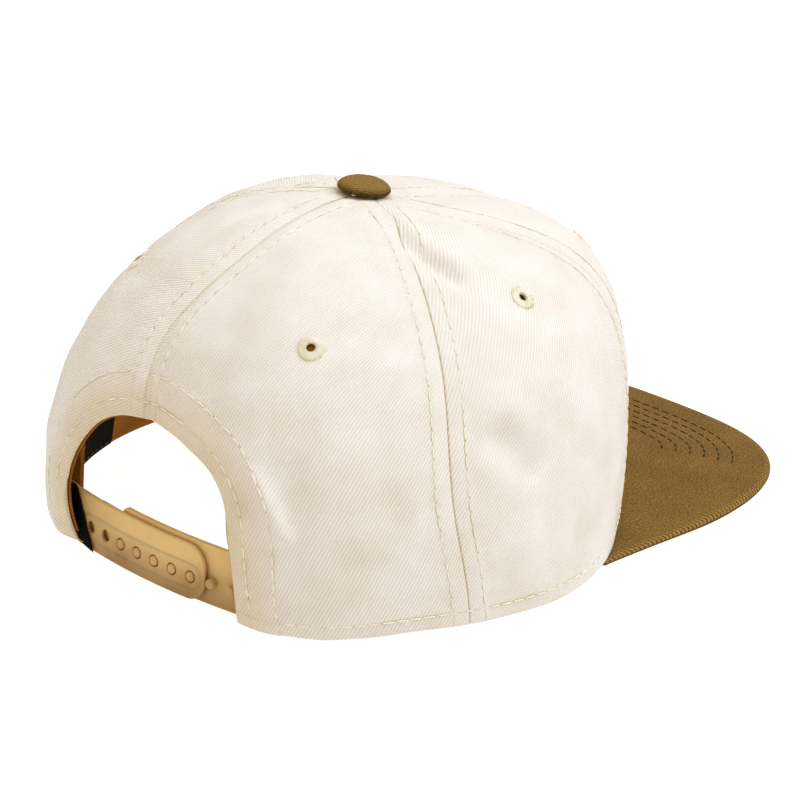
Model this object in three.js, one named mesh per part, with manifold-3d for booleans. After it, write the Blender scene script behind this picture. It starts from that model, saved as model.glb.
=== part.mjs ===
// A snapback cap: six cloth panels, a flat peak, a cloth button, a sweatband, and a two-piece plastic snap strap.
// Sizes are millimetres. The peak points to -Y, up is +Z, and the wearer's right is -X.
// Azimuths are degrees round the crown: 0 is the front, 90 the wearer's right, 180 the back.

import * as THREE from "three";
import Module from "manifold-3d";

const wasm = await Module();
wasm.setup();

// Clearance between two pieces that touch on the real cap.
const GAP = 0.3;

// Thickness of each cloth and plastic piece.
const PANEL_THICK = 1.6;
const BAND_THICK = 1.2;
const TAPE_THICK = 0.8;
const STRAP_THICK = 1.5;
const LABEL_THICK = 0.5;
const TAB_THICK = 0.5;

// Crown. The height is that of the cloth under the button.
const CROWN_HEIGHT = 110.7;
// How far the top sinks from the button towards the front, the sides and the back.
const TOP_SINK = { front: 15.4, side: 1.8, back: -1.6 };

// One row every 30 degrees round the crown.
//   rim: radius of the lower edge.
//   top: how far out the top stays high, as a share of the rim radius.
//   belly: how far the side swells past the rim.
//   waist: height of that swell, as a share of the crown height.
//   lift: height of the lower edge above the surface that the cap rests on. Where the curve dips below 0, it lies flat.
const SECTION_STEP = 30;
const SECTIONS = [
  { at: 0, rim: 92, top: 0.72, belly: 10, waist: 0.97, lift: 9.5 },
  { at: 30, rim: 89.8, top: 0.72, belly: 9.9, waist: 0.95, lift: 8.5 },
  { at: 60, rim: 88.7, top: 0.69, belly: 2.3, waist: 0.832, lift: 6 },
  { at: 90, rim: 92.7, top: 0.69, belly: 0.9, waist: 0.655, lift: 4.6 },
  { at: 120, rim: 91.9, top: 0.75, belly: 3.1, waist: 0.527, lift: 2.6 },
  { at: 150, rim: 93.5, top: 0.82, belly: 10.5, waist: 0.468, lift: 0 },
  { at: 180, rim: 84.7, top: 0.87, belly: 15.7, waist: 0.468, lift: 9 },
  { at: 210, rim: 94.5, top: 0.79, belly: 12.1, waist: 0.429, lift: 2.4 },
  { at: 240, rim: 92.9, top: 0.72, belly: 6.1, waist: 0.507, lift: 2.4 },
  { at: 270, rim: 91.5, top: 0.67, belly: 3.5, waist: 0.645, lift: 3.7 },
  { at: 300, rim: 90, top: 0.68, belly: 4.7, waist: 0.783, lift: 6 },
  { at: 330, rim: 91.3, top: 0.7, belly: 8.2, waist: 0.911, lift: 8.5 },
];

// Seams between the panels, each with its azimuth at five places from the button down to the rim.
const SEAMS = [
  { name: "front", top: 0, upper: 0, middle: 0, lower: 0, rim: 0 },
  { name: "front right", top: 56, upper: 48, middle: 44, lower: 43, rim: 46 },
  { name: "back right", top: 108, upper: 114.3, middle: 115.7, lower: 116.2, rim: 112 },
  { name: "back", top: 184, upper: 183.8, middle: 188, lower: 182, rim: 180 },
  { name: "back left", top: 250, upper: 246, middle: 244.5, lower: 244, rim: 248 },
  { name: "front left", top: 304, upper: 312, middle: 316, lower: 317, rim: 314 },
];
const SEAM_PLACES = ["top", "upper", "middle", "lower", "rim"];

// Panels, each from one seam to the next. The eyelet sits at a share of the width and of the fall.
const PANELS = [
  { name: "front_right", from: 0, to: 1, eyeShare: 0.5, eyeFall: 0.56, arched: false },
  { name: "side_right", from: 1, to: 2, eyeShare: 0.55, eyeFall: 0.415, arched: false },
  { name: "back_right", from: 2, to: 3, eyeShare: 0.45, eyeFall: 0.426, arched: true },
  { name: "back_left", from: 3, to: 4, eyeShare: 0.6, eyeFall: 0.41, arched: true },
  { name: "side_left", from: 4, to: 5, eyeShare: 0.5, eyeFall: 0.5, arched: false },
  { name: "front_left", from: 5, to: 0, eyeShare: 0.5, eyeFall: 0.56, arched: false },
];
const PANEL_COLUMNS = 12;
const PANEL_ROWS = 14;
const ARCH_COLUMNS = 9;

// How far the middle of a panel puffs out past its seams, and how far down the crown it is at its fullest.
const PUFF = 2.2;
const PUFF_FULL_FALL = 0.3;
const PUFF_RIM_SHARE = 0.15;
// Radius of the open circle that the panels leave under the button, and how much the curve of the top adds to it.
const TIP_RADIUS = 4.5;
const TIP_CURVE = 1.08;
// Fall from which the cloth's outward direction turns level, so that the lower edge is flat.
const LEVEL_FROM = 0.88;
// How late a panel's columns spread out towards its lower edge.
const SPREAD_POWER = 1.5;
// Power that makes a panel's puff full close to its seams.
const PUFF_POWER = 0.75;

// Dents (negative) and folds (positive) in the crown: centre, spread in degrees and in share of the fall, and depth.
const FOLDS = [
  { name: "dimple by the button", at: 104, fall: 0.24, wide: 9, tall: 0.06, deep: -2 },
  { name: "hollow beside the opening", at: 148, fall: 0.71, wide: 5, tall: 0.09, deep: -2.4 },
  { name: "ridge beside the hollow", at: 156, fall: 0.74, wide: 3.5, tall: 0.16, deep: 1 },
  { name: "soft hollow low on the side", at: 96, fall: 0.73, wide: 8, tall: 0.09, deep: -1.8 },
  { name: "soft hollow on the far side", at: 264, fall: 0.7, wide: 9, tall: 0.1, deep: -1.5 },
];

// Back opening: the height of its edge, and how far it reaches either side of the middle there.
const OPENING = [
  { up: 55, right: -3, left: 3 },
  { up: 53, right: 10, left: 15 },
  { up: 48.9, right: 21.5, left: 23 },
  { up: 43.2, right: 28.6, left: 28.2 },
  { up: 34.7, right: 33.1, left: 33.3 },
  { up: 22.7, right: 35.3, left: 37 },
  { up: 10.7, right: 36.2, left: 36 },
  { up: 0, right: 36.8, left: 31 },
];

// Peak. Its outline runs from one corner through the tip to the other; turn is 0 at the tip and 90 at a corner.
const PEAK_HALF_WIDTH = 84.8;
const PEAK_TIP_Y = -160;
const PEAK_CORNER_Y = -31.2;
const PEAK_ROUND_ACROSS = 0.56;
const PEAK_ROUND_ALONG = 0.613;
const PEAK_INSET = 1.9;
// The corners thin out, from this turn on, to this share of the thickness.
const PEAK_THIN_FROM = 72;
const PEAK_CORNER_SHARE = 0.68;
const PEAK_COLUMNS = 36;
const PEAK_TURN_STEP = 15;
const PEAK_OUTLINE = [
  { turn: 0, high: 2.7 },
  { turn: 15, high: 2.7 },
  { turn: 30, high: 2.8 },
  { turn: 45, high: 3.1 },
  { turn: 60, high: 3.4 },
  { turn: 75, high: 4 },
  { turn: 90, high: 5.2 },
];
// The peak from the crown to its edge: share of the way out, thickness, and how far its top is rounded off.
const PEAK_PROFILE = [
  { out: 0, thick: 2.2, round: 0 },
  { out: 0.12, thick: 2.4, round: 0 },
  { out: 0.4, thick: 2.7, round: 0 },
  { out: 0.7, thick: 2.8, round: 0 },
  { out: 0.96, thick: 2.8, round: 0 },
  { out: 0.99, thick: 2.3, round: 0.25 },
  { out: 1, thick: 1.4, round: 0.7 },
];

// Button.
const BUTTON_TILT = 6;
const BUTTON_SIDES = 24;
const BUTTON_PROFILE = [
  { out: 0, up: -3 },
  { out: 2.4, up: -3 },
  { out: 2.4, up: 0.8 },
  { out: 8.1, up: 0.8 },
  { out: 8.5, up: 1.7 },
  { out: 8, up: 3.1 },
  { out: 6.6, up: 4.2 },
  { out: 4, up: 5 },
  { out: 0, up: 5.3 },
];

// Stitched eyelets.
const EYE_SIDES = 16;
const EYE_HOLE = 1.5;
const EYE_DRILL_SPARE = 3;
const EYE_PROFILE = [
  { out: 1.6, up: 0 },
  { out: 3.8, up: 0 },
  { out: 3.6, up: 0.5 },
  { out: 2.6, up: 0.9 },
  { out: 1.7, up: 0.6 },
];

// Sweatband. It stands off the crown where the strap's roots lie behind it.
const BAND_LOW = 0.9;
const BAND_HIGH = 31;
const BAND_ENDS = { right: 154, left: 211 };
const BAND_INSET = 2.3;
const BAND_STRAP_INSET = 4.9;
const BAND_SWELL = 0.6;
const BAND_COLUMNS = 52;
const BAND_ROWS = 3;
const BAND_STRAP_ANGLE = { far: 41, near: 32 };

// Binding tape behind the edge of the opening.
const TAPE_WIDTH = 7;
const TAPE_SHOWING = 0.5;
const TAPE_LOWEST = 23;
const TAPE_COLUMNS = 30;
const TAPE_ROWS = 3;
const TAPE_CLEAR = 0.5;

// Label on the inner face of the sweatband, from one azimuth to the other.
const LABEL = { from: 222, to: 254, low: 1.5, high: 30 };
const LABEL_COLUMNS = 8;
const LABEL_CLEAR = 0.5;

// Tab at the strap's left root, which leans in towards its foot.
const TAB = { outer: 44, highInner: 39, lowInner: 28.5, low: 1.2, high: 20.6 };

// Snap strap. The left half lies outside and has the holes. The right half lies inside and has the pegs.
const STRAP_MIDDLE_Y = 85;
const STRAP_BEND = 409;
const STRAP_LOW = 1.2;
const STRAP_HIGH = 19.5;
const STRAP_ROOT = 46;
const STRAP_TUCK = 1.8;
const STRAP_COLUMNS = 26;
// How far each half reaches past the middle, how long its rounded end is, and how much it narrows there.
const STRAP_ENDS = {
  left: { reach: 20.8, long: 7, narrow: 7 },
  right: { reach: 30, long: 16.5, narrow: 7 },
};
const STRAP_PITCH = 7.75;
const STRAP_ROW_UP = 8.8;
const HOLE_RADIUS = 2.05;
const FIRST_HOLE_X = 31.5;
const HOLE_COUNT = 7;
const PEG_RADIUS = 1.6;
const PEG_LENGTH = 2.6;
const PEG_FOOT = 0.7;
const DRILL_OUT = 2;
const DRILL_IN = 5;
const FIRST_PEG_X = FIRST_HOLE_X - 2 * STRAP_PITCH;
const PEG_COUNT = 7;
const ROUND_SIDES = 14;

const RAD = Math.PI / 180;

// Finish of each material slot.
const FINISHES = {
  twill_ecru: { color: 0xefe6d8, roughness: 0.9, metalness: 0 },
  twill_brown: { color: 0x86693c, roughness: 0.9, metalness: 0 },
  thread_cream: { color: 0xe9dcb8, roughness: 0.8, metalness: 0 },
  band_tan: { color: 0xa8742e, roughness: 0.9, metalness: 0 },
  plastic_tan: { color: 0xc69c6b, roughness: 0.45, metalness: 0 },
  woven_black: { color: 0x16130f, roughness: 0.85, metalness: 0 },
};

// Smooth curve through b and c at a share of the way from b to c, with a and d as the points before and after.
function curveThrough(a, b, c, d, share) {
  const bend = 2 * a - 5 * b + 4 * c - d;
  const twist = 3 * b - a - 3 * c + d;
  return 0.5 * (2 * b + (c - a) * share + bend * share ** 2 + twist * share ** 3);
}

// Value of one column of a table at a place counted in rows, held at the table's ends.
function alongRows(rows, key, place) {
  const last = rows.length - 1;
  const row = Math.min(Math.max(Math.floor(place), 0), last - 1);
  const value = (index) => rows[Math.min(Math.max(index, 0), last)][key];
  return curveThrough(value(row - 1), value(row), value(row + 1), value(row + 2), place - row);
}

// Value of one column of SECTIONS at an azimuth, all the way round.
function sectionValue(key, azimuth) {
  const place = (((azimuth % 360) + 360) % 360) / SECTION_STEP;
  const row = Math.floor(place);
  const value = (index) => SECTIONS[(index + SECTIONS.length) % SECTIONS.length][key];
  return curveThrough(value(row - 1), value(row), value(row + 1), value(row + 2), place - row);
}

// Eased step from 0 at low to 1 at high.
function easedStep(value, low, high) {
  const share = Math.min(Math.max((value - low) / (high - low), 0), 1);
  return share * share * (3 - 2 * share);
}

// How far the top sinks towards an azimuth.
function topSink(azimuth) {
  const c = Math.cos(azimuth * RAD);
  const { front, side, back } = TOP_SINK;
  return side + ((front - back) / 2) * c + ((front + back) / 2 - side) * c * c;
}

// Height of the crown's lower edge at an azimuth, never below the surface that the cap rests on.
function rimLift(azimuth) {
  return Math.max(sectionValue("lift", azimuth), 0);
}

// Point of the smooth crown at an azimuth and a fall, which is 0 at the button and 1 at the rim.
function crownPoint(azimuth, fall) {
  const rim = sectionValue("rim", azimuth);
  const rest = 1 - fall;
  const nearTop = 3 * fall * rest * rest;
  const nearRim = 3 * fall * fall * rest;
  const low = fall ** 3;
  const bulge = rim + sectionValue("belly", azimuth);
  const radius = nearTop * sectionValue("top", azimuth) * rim + nearRim * bulge + low * rim;
  const shoulder = CROWN_HEIGHT - topSink(azimuth);
  const waist = sectionValue("waist", azimuth) * CROWN_HEIGHT;
  const lift = rimLift(azimuth);
  const height = rest ** 3 * CROWN_HEIGHT + nearTop * shoulder + nearRim * waist + low * lift;
  const turn = azimuth * RAD;
  return new THREE.Vector3(-radius * Math.sin(turn), -radius * Math.cos(turn), height);
}

// Outward normal of the smooth crown. It turns level at the rim, which keeps the lower edge flat.
function crownNormal(azimuth, fall) {
  const step = 0.002;
  const low = Math.max(fall - step, 0.004);
  const along = crownPoint(azimuth, fall + step).sub(crownPoint(azimuth, low));
  const across = crownPoint(azimuth + 0.2, fall).sub(crownPoint(azimuth - 0.2, fall));
  const normal = across.cross(along).normalize();
  normal.z *= 1 - easedStep(fall, LEVEL_FROM, 1);
  return normal.normalize();
}

// Azimuth of a seam at a fall.
function seamAzimuth(seam, fall) {
  const rows = SEAM_PLACES.map((place) => ({ azimuth: SEAMS[seam][place] }));
  return alongRows(rows, "azimuth", fall * (rows.length - 1));
}

// Azimuth at a share of the way across a panel.
function panelAzimuth(panel, share, fall) {
  const start = seamAzimuth(panel.from, fall);
  const end = seamAzimuth(panel.to, fall) + (panel.to === 0 ? 360 : 0);
  return start + (end - start) * share;
}

// Share of the way across its panel that an azimuth is at.
function shareAcross(azimuth, fall) {
  const turned = ((azimuth % 360) + 360) % 360;
  for (const panel of PANELS) {
    const start = panelAzimuth(panel, 0, fall);
    const end = panelAzimuth(panel, 1, fall);
    if (turned >= start && turned <= end) {
      return (turned - start) / (end - start);
    }
  }
  return 0;
}

// How far the cloth stands off the smooth crown: the puff of the panel, the dents and the folds.
function clothRise(azimuth, fall) {
  const turned = ((azimuth % 360) + 360) % 360;
  const across = Math.sin(Math.PI * shareAcross(azimuth, fall)) ** PUFF_POWER - 0.5;
  const fullness = easedStep(fall, 0.02, PUFF_FULL_FALL);
  const fade = 1 - (1 - PUFF_RIM_SHARE) * easedStep(fall, 0.6, 1);
  let rise = PUFF * across * fullness * fade;
  for (const fold of FOLDS) {
    const sideways = (turned - fold.at) / fold.wide;
    const down = (fall - fold.fall) / fold.tall;
    rise += fold.deep * Math.exp(-sideways * sideways - down * down);
  }
  return rise;
}

// Point of the cloth at a depth below its outer face.
function clothPoint(azimuth, fall, depth) {
  const stand = clothRise(azimuth, fall) - depth;
  return crownPoint(azimuth, fall).addScaledVector(crownNormal(azimuth, fall), stand);
}

// Fall at which the smooth crown has a height, on its lower part.
function fallAtHeight(azimuth, height) {
  let high = 0.25;
  let low = 1;
  for (let i = 0; i < 24; i += 1) {
    const middle = (high + low) / 2;
    if (crownPoint(azimuth, middle).z > height) {
      high = middle;
    } else {
      low = middle;
    }
  }
  return (high + low) / 2;
}

// Closed solid between two faces of a grid. point(column, row, layer) gives a corner, with layer 0 outside.
function closedSheet(columns, rows, point) {
  const positions = [];
  const faces = [];
  const corner = (column, row, layer) => layer * (columns + 1) * (rows + 1) + row * (columns + 1) + column;
  const quad = (a, b, c, d) => faces.push(a, b, c, a, c, d);
  for (const layer of [0, 1]) {
    for (let row = 0; row <= rows; row += 1) {
      for (let column = 0; column <= columns; column += 1) {
        positions.push(...point(column, row, layer).toArray());
      }
    }
  }
  for (let row = 0; row < rows; row += 1) {
    for (let column = 0; column < columns; column += 1) {
      const next = column + 1;
      quad(corner(column, row, 0), corner(next, row, 0), corner(next, row + 1, 0), corner(column, row + 1, 0));
      quad(corner(column, row, 1), corner(column, row + 1, 1), corner(next, row + 1, 1), corner(next, row, 1));
    }
  }
  for (let column = 0; column < columns; column += 1) {
    const next = column + 1;
    quad(corner(column, 0, 0), corner(column, 0, 1), corner(next, 0, 1), corner(next, 0, 0));
    quad(corner(column, rows, 0), corner(next, rows, 0), corner(next, rows, 1), corner(column, rows, 1));
  }
  for (let row = 0; row < rows; row += 1) {
    const below = row + 1;
    quad(corner(0, row, 0), corner(0, below, 0), corner(0, below, 1), corner(0, row, 1));
    quad(corner(columns, row, 0), corner(columns, row, 1), corner(columns, below, 1), corner(columns, below, 0));
  }
  return facingOut(positions, faces);
}

// Geometry of a closed mesh, with its faces turned round if they face inwards.
function facingOut(positions, faces) {
  const at = (index) => new THREE.Vector3().fromArray(positions, index * 3);
  let volume = 0;
  for (let i = 0; i < faces.length; i += 3) {
    volume += at(faces[i]).dot(at(faces[i + 1]).cross(at(faces[i + 2])));
  }
  if (volume < 0) {
    faces.reverse();
  }
  const geometry = new THREE.BufferGeometry();
  geometry.setAttribute("position", new THREE.Float32BufferAttribute(positions, 3));
  geometry.setIndex(faces);
  return geometry;
}

// Round solid about Z from a profile that closes on the axis or on itself.
function turnedSolid(profile, sides) {
  const points = profile.map((row) => new THREE.Vector2(row.out, row.up));
  if (points[0].x > 0) {
    points.push(points[0].clone());
  }
  const lathe = new THREE.LatheGeometry(points, sides);
  lathe.rotateX(Math.PI / 2);
  return weldedClosed(lathe);
}

// The same solid with its doubled corners joined and its empty faces dropped.
function weldedClosed(geometry) {
  const source = geometry.toNonIndexed().getAttribute("position");
  const seen = new Map();
  const positions = [];
  const faces = [];
  for (let i = 0; i < source.count; i += 3) {
    const face = [0, 1, 2].map((k) => {
      const corner = [source.getX(i + k), source.getY(i + k), source.getZ(i + k)];
      const key = corner.map((value) => Math.round(value * 1e4)).join(",");
      if (!seen.has(key)) {
        seen.set(key, positions.length / 3);
        positions.push(...corner);
      }
      return seen.get(key);
    });
    if (new Set(face).size === 3) {
      faces.push(...face);
    }
  }
  return facingOut(positions, faces);
}

// Boolean form of a solid, and back.
function toSolid(geometry) {
  const positions = geometry.getAttribute("position").array;
  const faces = geometry.getIndex().array;
  const mesh = new wasm.Mesh({
    numProp: 3,
    vertProperties: new Float32Array(positions),
    triVerts: new Uint32Array(faces),
  });
  return new wasm.Manifold(mesh);
}

function fromSolid(solid) {
  const mesh = solid.getMesh();
  return facingOut(Array.from(mesh.vertProperties), Array.from(mesh.triVerts));
}

// Round pin from one point to another.
function pin(from, to, radius) {
  const span = to.clone().sub(from);
  const cylinder = new THREE.CylinderGeometry(radius, radius, span.length(), ROUND_SIDES);
  const turn = new THREE.Quaternion().setFromUnitVectors(new THREE.Vector3(0, 1, 0), span.clone().normalize());
  cylinder.applyQuaternion(turn);
  const middle = from.clone().add(to).multiplyScalar(0.5);
  cylinder.translate(middle.x, middle.y, middle.z);
  return weldedClosed(cylinder);
}

// Edge of the back opening at a place counted in rows of OPENING: azimuth and fall on the crown.
function openingEdge(side, place) {
  const up = Math.max(alongRows(OPENING, "up", place), 0);
  const reach = alongRows(OPENING, side, place);
  const x = side === "right" ? -reach : reach;
  let azimuth = 180;
  let fall = 1;
  for (let i = 0; i < 12; i += 1) {
    fall = fallAtHeight(azimuth, up);
    const point = crownPoint(azimuth, fall);
    azimuth = 180 + Math.asin(x / Math.hypot(point.x, point.y)) / RAD;
  }
  return { azimuth, fall };
}

// Half of the clearance at a seam, as an angle.
function seamClearance(azimuth, fall) {
  const point = crownPoint(azimuth, fall);
  return (GAP / 2 + 0.03) / Math.hypot(point.x, point.y) / RAD;
}

// Fall at which the crown leaves the open circle under the button.
function tipFall(azimuth) {
  return (TIP_CURVE * TIP_RADIUS) / (3 * sectionValue("top", azimuth) * sectionValue("rim", azimuth));
}

// Lower edge of a panel at a share of its width: along the opening where the panel is arched, then along the rim.
function lowerEdge(panel, share) {
  if (!panel.arched) {
    return { azimuth: panelAzimuth(panel, share, 1), fall: 1 };
  }
  const side = panel.name === "back_right" ? "right" : "left";
  const archShare = ARCH_COLUMNS / (PANEL_COLUMNS + ARCH_COLUMNS);
  const fromMiddle = side === "right" ? 1 - share : share;
  if (fromMiddle <= archShare) {
    return openingEdge(side, (fromMiddle / archShare) * (OPENING.length - 1));
  }
  const foot = openingEdge(side, OPENING.length - 1).azimuth;
  const outer = side === "right" ? panelAzimuth(panel, 0, 1) : panelAzimuth(panel, 1, 1);
  const rimShare = (fromMiddle - archShare) / (1 - archShare);
  return { azimuth: foot + (outer - foot) * rimShare, fall: 1 };
}

// One crown panel, with the hole of its eyelet cut through.
function panelGeometry(panel) {
  const columns = PANEL_COLUMNS + (panel.arched ? ARCH_COLUMNS : 0);
  const sheet = closedSheet(columns, PANEL_ROWS, (column, row, layer) => {
    const share = column / columns;
    const down = row / PANEL_ROWS;
    const edge = lowerEdge(panel, share);
    const start = tipFall(edge.azimuth);
    const fall = start + (edge.fall - start) * down;
    const edgeStart = panelAzimuth(panel, 0, edge.fall);
    const edgeEnd = panelAzimuth(panel, 1, edge.fall);
    const edgeShare = (edge.azimuth - edgeStart) / (edgeEnd - edgeStart);
    const across = share + (edgeShare - share) * down ** SPREAD_POWER;
    const azimuth = panelAzimuth(panel, across, fall);
    const clear = seamClearance(azimuth, fall) * (1 - 2 * across);
    return clothPoint(azimuth + clear, fall, layer * PANEL_THICK);
  });
  const azimuth = panelAzimuth(panel, panel.eyeShare, panel.eyeFall);
  const outside = clothPoint(azimuth, panel.eyeFall, -EYE_DRILL_SPARE);
  const inside = clothPoint(azimuth, panel.eyeFall, PANEL_THICK + EYE_DRILL_SPARE);
  return fromSolid(toSolid(sheet).subtract(toSolid(pin(outside, inside, EYE_HOLE))));
}

// Ring of stitches round an eyelet, just clear of the cloth.
function eyeletGeometry(panel) {
  const ring = turnedSolid(EYE_PROFILE, EYE_SIDES);
  const azimuth = panelAzimuth(panel, panel.eyeShare, panel.eyeFall);
  const seat = clothPoint(azimuth, panel.eyeFall, -GAP - 0.1);
  const out = clothPoint(azimuth, panel.eyeFall, -GAP - 1).sub(seat).normalize();
  ring.applyQuaternion(new THREE.Quaternion().setFromUnitVectors(new THREE.Vector3(0, 0, 1), out));
  ring.translate(seat.x, seat.y, seat.z);
  return ring;
}

// Outline of the peak at a turn from -90 to 90 degrees.
function peakOutline(turn) {
  const s = Math.sin(turn * RAD);
  const c = Math.max(Math.cos(turn * RAD), 0);
  const x = -PEAK_HALF_WIDTH * Math.sign(s) * Math.abs(s) ** PEAK_ROUND_ACROSS;
  const y = PEAK_CORNER_Y + (PEAK_TIP_Y - PEAK_CORNER_Y) * c ** PEAK_ROUND_ALONG;
  const z = alongRows(PEAK_OUTLINE, "high", Math.abs(turn) / PEAK_TURN_STEP);
  return new THREE.Vector3(x, y, z);
}

// The peak: its inner edge lies under the crown's lower edge.
function peakGeometry() {
  return closedSheet(PEAK_COLUMNS, PEAK_PROFILE.length - 1, (column, row, layer) => {
    const turn = -90 + (180 * column) / PEAK_COLUMNS;
    const outer = peakOutline(turn);
    const azimuth = Math.atan2(-outer.x, -outer.y) / RAD;
    const inner = crownPoint(azimuth, 1);
    const flat = Math.hypot(inner.x, inner.y);
    inner.x *= (flat - PEAK_INSET) / flat;
    inner.y *= (flat - PEAK_INSET) / flat;
    inner.z -= GAP;
    const profile = PEAK_PROFILE[row];
    const point = inner.lerp(outer, profile.out);
    const thin = 1 - (1 - PEAK_CORNER_SHARE) * easedStep(Math.abs(turn), PEAK_THIN_FROM, 90);
    point.z -= profile.round + layer * profile.thick * thin;
    return point;
  });
}

// The button, tilted to follow the top of the crown.
function buttonGeometry() {
  const button = turnedSolid(BUTTON_PROFILE, BUTTON_SIDES);
  button.rotateX(BUTTON_TILT * RAD);
  button.translate(0, 0, CROWN_HEIGHT);
  return button;
}

// How close an azimuth is to the strap's roots: 0 far from them, 1 over them.
function nearStrap(azimuth) {
  return 1 - easedStep(Math.abs(azimuth - 180), BAND_STRAP_ANGLE.near, BAND_STRAP_ANGLE.far);
}

// Point of the sweatband at a height above the rim, and a depth in from its outer face.
function bandPoint(azimuth, up, depth) {
  const wrapped = ((azimuth % 360) + 360) % 360;
  const near = nearStrap(wrapped);
  const lift = rimLift(azimuth);
  const rim = sectionValue("rim", azimuth);
  const wall = clothPoint(azimuth, fallAtHeight(azimuth, lift + up), PANEL_THICK + GAP + 0.2);
  const swell = Math.max(Math.hypot(wall.x, wall.y) - rim, 0) * BAND_SWELL * (1 - near);
  const wanted = rim + swell - BAND_INSET - near * BAND_STRAP_INSET;
  const radius = Math.min(wanted, Math.hypot(wall.x, wall.y)) - depth;
  const turn = azimuth * RAD;
  return new THREE.Vector3(-radius * Math.sin(turn), -radius * Math.cos(turn), lift + up);
}

// The sweatband, from its end by the strap's left root round the front to the right root.
function bandGeometry() {
  const start = BAND_ENDS.left - 360;
  return closedSheet(BAND_COLUMNS, BAND_ROWS, (column, row, layer) => {
    const azimuth = start + ((BAND_ENDS.right - start) * column) / BAND_COLUMNS;
    const up = BAND_HIGH + ((BAND_LOW - BAND_HIGH) * row) / BAND_ROWS;
    return bandPoint(azimuth, up, layer * BAND_THICK);
  });
}

// The label, just inside the sweatband.
function labelGeometry() {
  return closedSheet(LABEL_COLUMNS, 2, (column, row, layer) => {
    const azimuth = LABEL.from + ((LABEL.to - LABEL.from) * column) / LABEL_COLUMNS;
    const up = LABEL.high + ((LABEL.low - LABEL.high) * row) / 2;
    return bandPoint(azimuth, up, BAND_THICK + LABEL_CLEAR + layer * LABEL_THICK);
  });
}

// Place in the rows of OPENING at which its edge comes down to a height.
function openingPlace(up) {
  let high = 0;
  let low = OPENING.length - 1;
  for (let i = 0; i < 20; i += 1) {
    const middle = (high + low) / 2;
    if (alongRows(OPENING, "up", middle) > up) {
      high = middle;
    } else {
      low = middle;
    }
  }
  return high;
}

// The binding tape, from one side of the opening over its top to the other.
function tapeGeometry() {
  const reach = openingPlace(TAPE_LOWEST);
  const edgeAt = (share) => {
    const signed = (share * 2 - 1) * reach;
    return openingEdge(signed < 0 ? "right" : "left", Math.abs(signed));
  };
  return closedSheet(TAPE_COLUMNS, TAPE_ROWS, (column, row, layer) => {
    const share = column / TAPE_COLUMNS;
    const edge = edgeAt(share);
    const before = edgeAt(Math.max(share - 0.02, 0));
    const after = edgeAt(Math.min(share + 0.02, 1));
    const along = crownPoint(after.azimuth, after.fall).sub(crownPoint(before.azimuth, before.fall)).normalize();
    const normal = crownNormal(edge.azimuth, edge.fall);
    const inward = normal.clone().cross(along).normalize();
    const across = TAPE_WIDTH - ((TAPE_WIDTH + TAPE_SHOWING) * row) / TAPE_ROWS;
    const spot = onCrown(edge, inward, inward.z < 0 ? -across : across);
    return clothPoint(spot.azimuth, spot.fall, PANEL_THICK + TAPE_CLEAR + layer * TAPE_THICK);
  });
}

// Azimuth and fall of the spot a distance away along the crown from another.
function onCrown(spot, direction, distance) {
  const here = crownPoint(spot.azimuth, spot.fall);
  const around = crownPoint(spot.azimuth + 0.5, spot.fall).sub(here).multiplyScalar(2);
  const down = crownPoint(spot.azimuth, spot.fall - 0.01).sub(here).multiplyScalar(-100);
  const a = around.dot(around);
  const b = around.dot(down);
  const c = down.dot(down);
  const p = around.dot(direction) * distance;
  const q = down.dot(direction) * distance;
  const det = a * c - b * b;
  return { azimuth: spot.azimuth + (p * c - q * b) / det, fall: spot.fall + (q * a - p * b) / det };
}

// Point on the strap's outer face, moved in by a depth.
function strapPoint(x, z, depth) {
  const slope = (2 * x) / STRAP_BEND;
  const inward = new THREE.Vector3(-slope, -1, 0).normalize();
  const outer = new THREE.Vector3(x, STRAP_MIDDLE_Y - (x * x) / STRAP_BEND, z);
  return outer.addScaledVector(inward, depth);
}

// One half of the strap from its root to its rounded end, before its holes or pegs.
function strapBlank(root, end, rounding, depth) {
  const middle = (STRAP_LOW + STRAP_HIGH) / 2;
  const half = (STRAP_HIGH - STRAP_LOW) / 2;
  const length = Math.abs(end - root);
  const direction = Math.sign(end - root);
  return closedSheet(STRAP_COLUMNS, 2, (column, row, layer) => {
    const share = 1 - (1 - column / STRAP_COLUMNS) ** 1.5;
    const along = share * length;
    const intoEnd = Math.max(along - (length - rounding.long), 0) / rounding.long;
    const narrow = rounding.narrow * (1 - Math.sqrt(Math.max(1 - intoEnd ** 2, 0)));
    const z = middle + (half - narrow) * (1 - row);
    const x = root + direction * along;
    return strapPoint(x, z, depth + layer * STRAP_THICK);
  });
}

// The holed half of the strap.
function strapLeftGeometry() {
  const rounding = STRAP_ENDS.left;
  let solid = toSolid(strapBlank(STRAP_ROOT, -rounding.reach, rounding, 0));
  for (let i = 0; i < HOLE_COUNT; i += 1) {
    const x = FIRST_HOLE_X - i * STRAP_PITCH;
    const outside = strapPoint(x, STRAP_ROW_UP, -DRILL_OUT);
    const drill = pin(outside, strapPoint(x, STRAP_ROW_UP, DRILL_IN), HOLE_RADIUS);
    solid = solid.subtract(toSolid(drill));
  }
  return fromSolid(solid);
}

// The pegged half of the strap.
function strapRightGeometry() {
  const rounding = STRAP_ENDS.right;
  let solid = toSolid(strapBlank(-STRAP_ROOT, rounding.reach, rounding, STRAP_TUCK));
  for (let i = 0; i < PEG_COUNT; i += 1) {
    const x = FIRST_PEG_X - i * STRAP_PITCH;
    const foot = strapPoint(x, STRAP_ROW_UP, STRAP_TUCK + PEG_FOOT);
    const head = strapPoint(x, STRAP_ROW_UP, STRAP_TUCK - PEG_LENGTH);
    solid = solid.add(toSolid(pin(foot, head, PEG_RADIUS)));
  }
  return fromSolid(solid);
}

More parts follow.
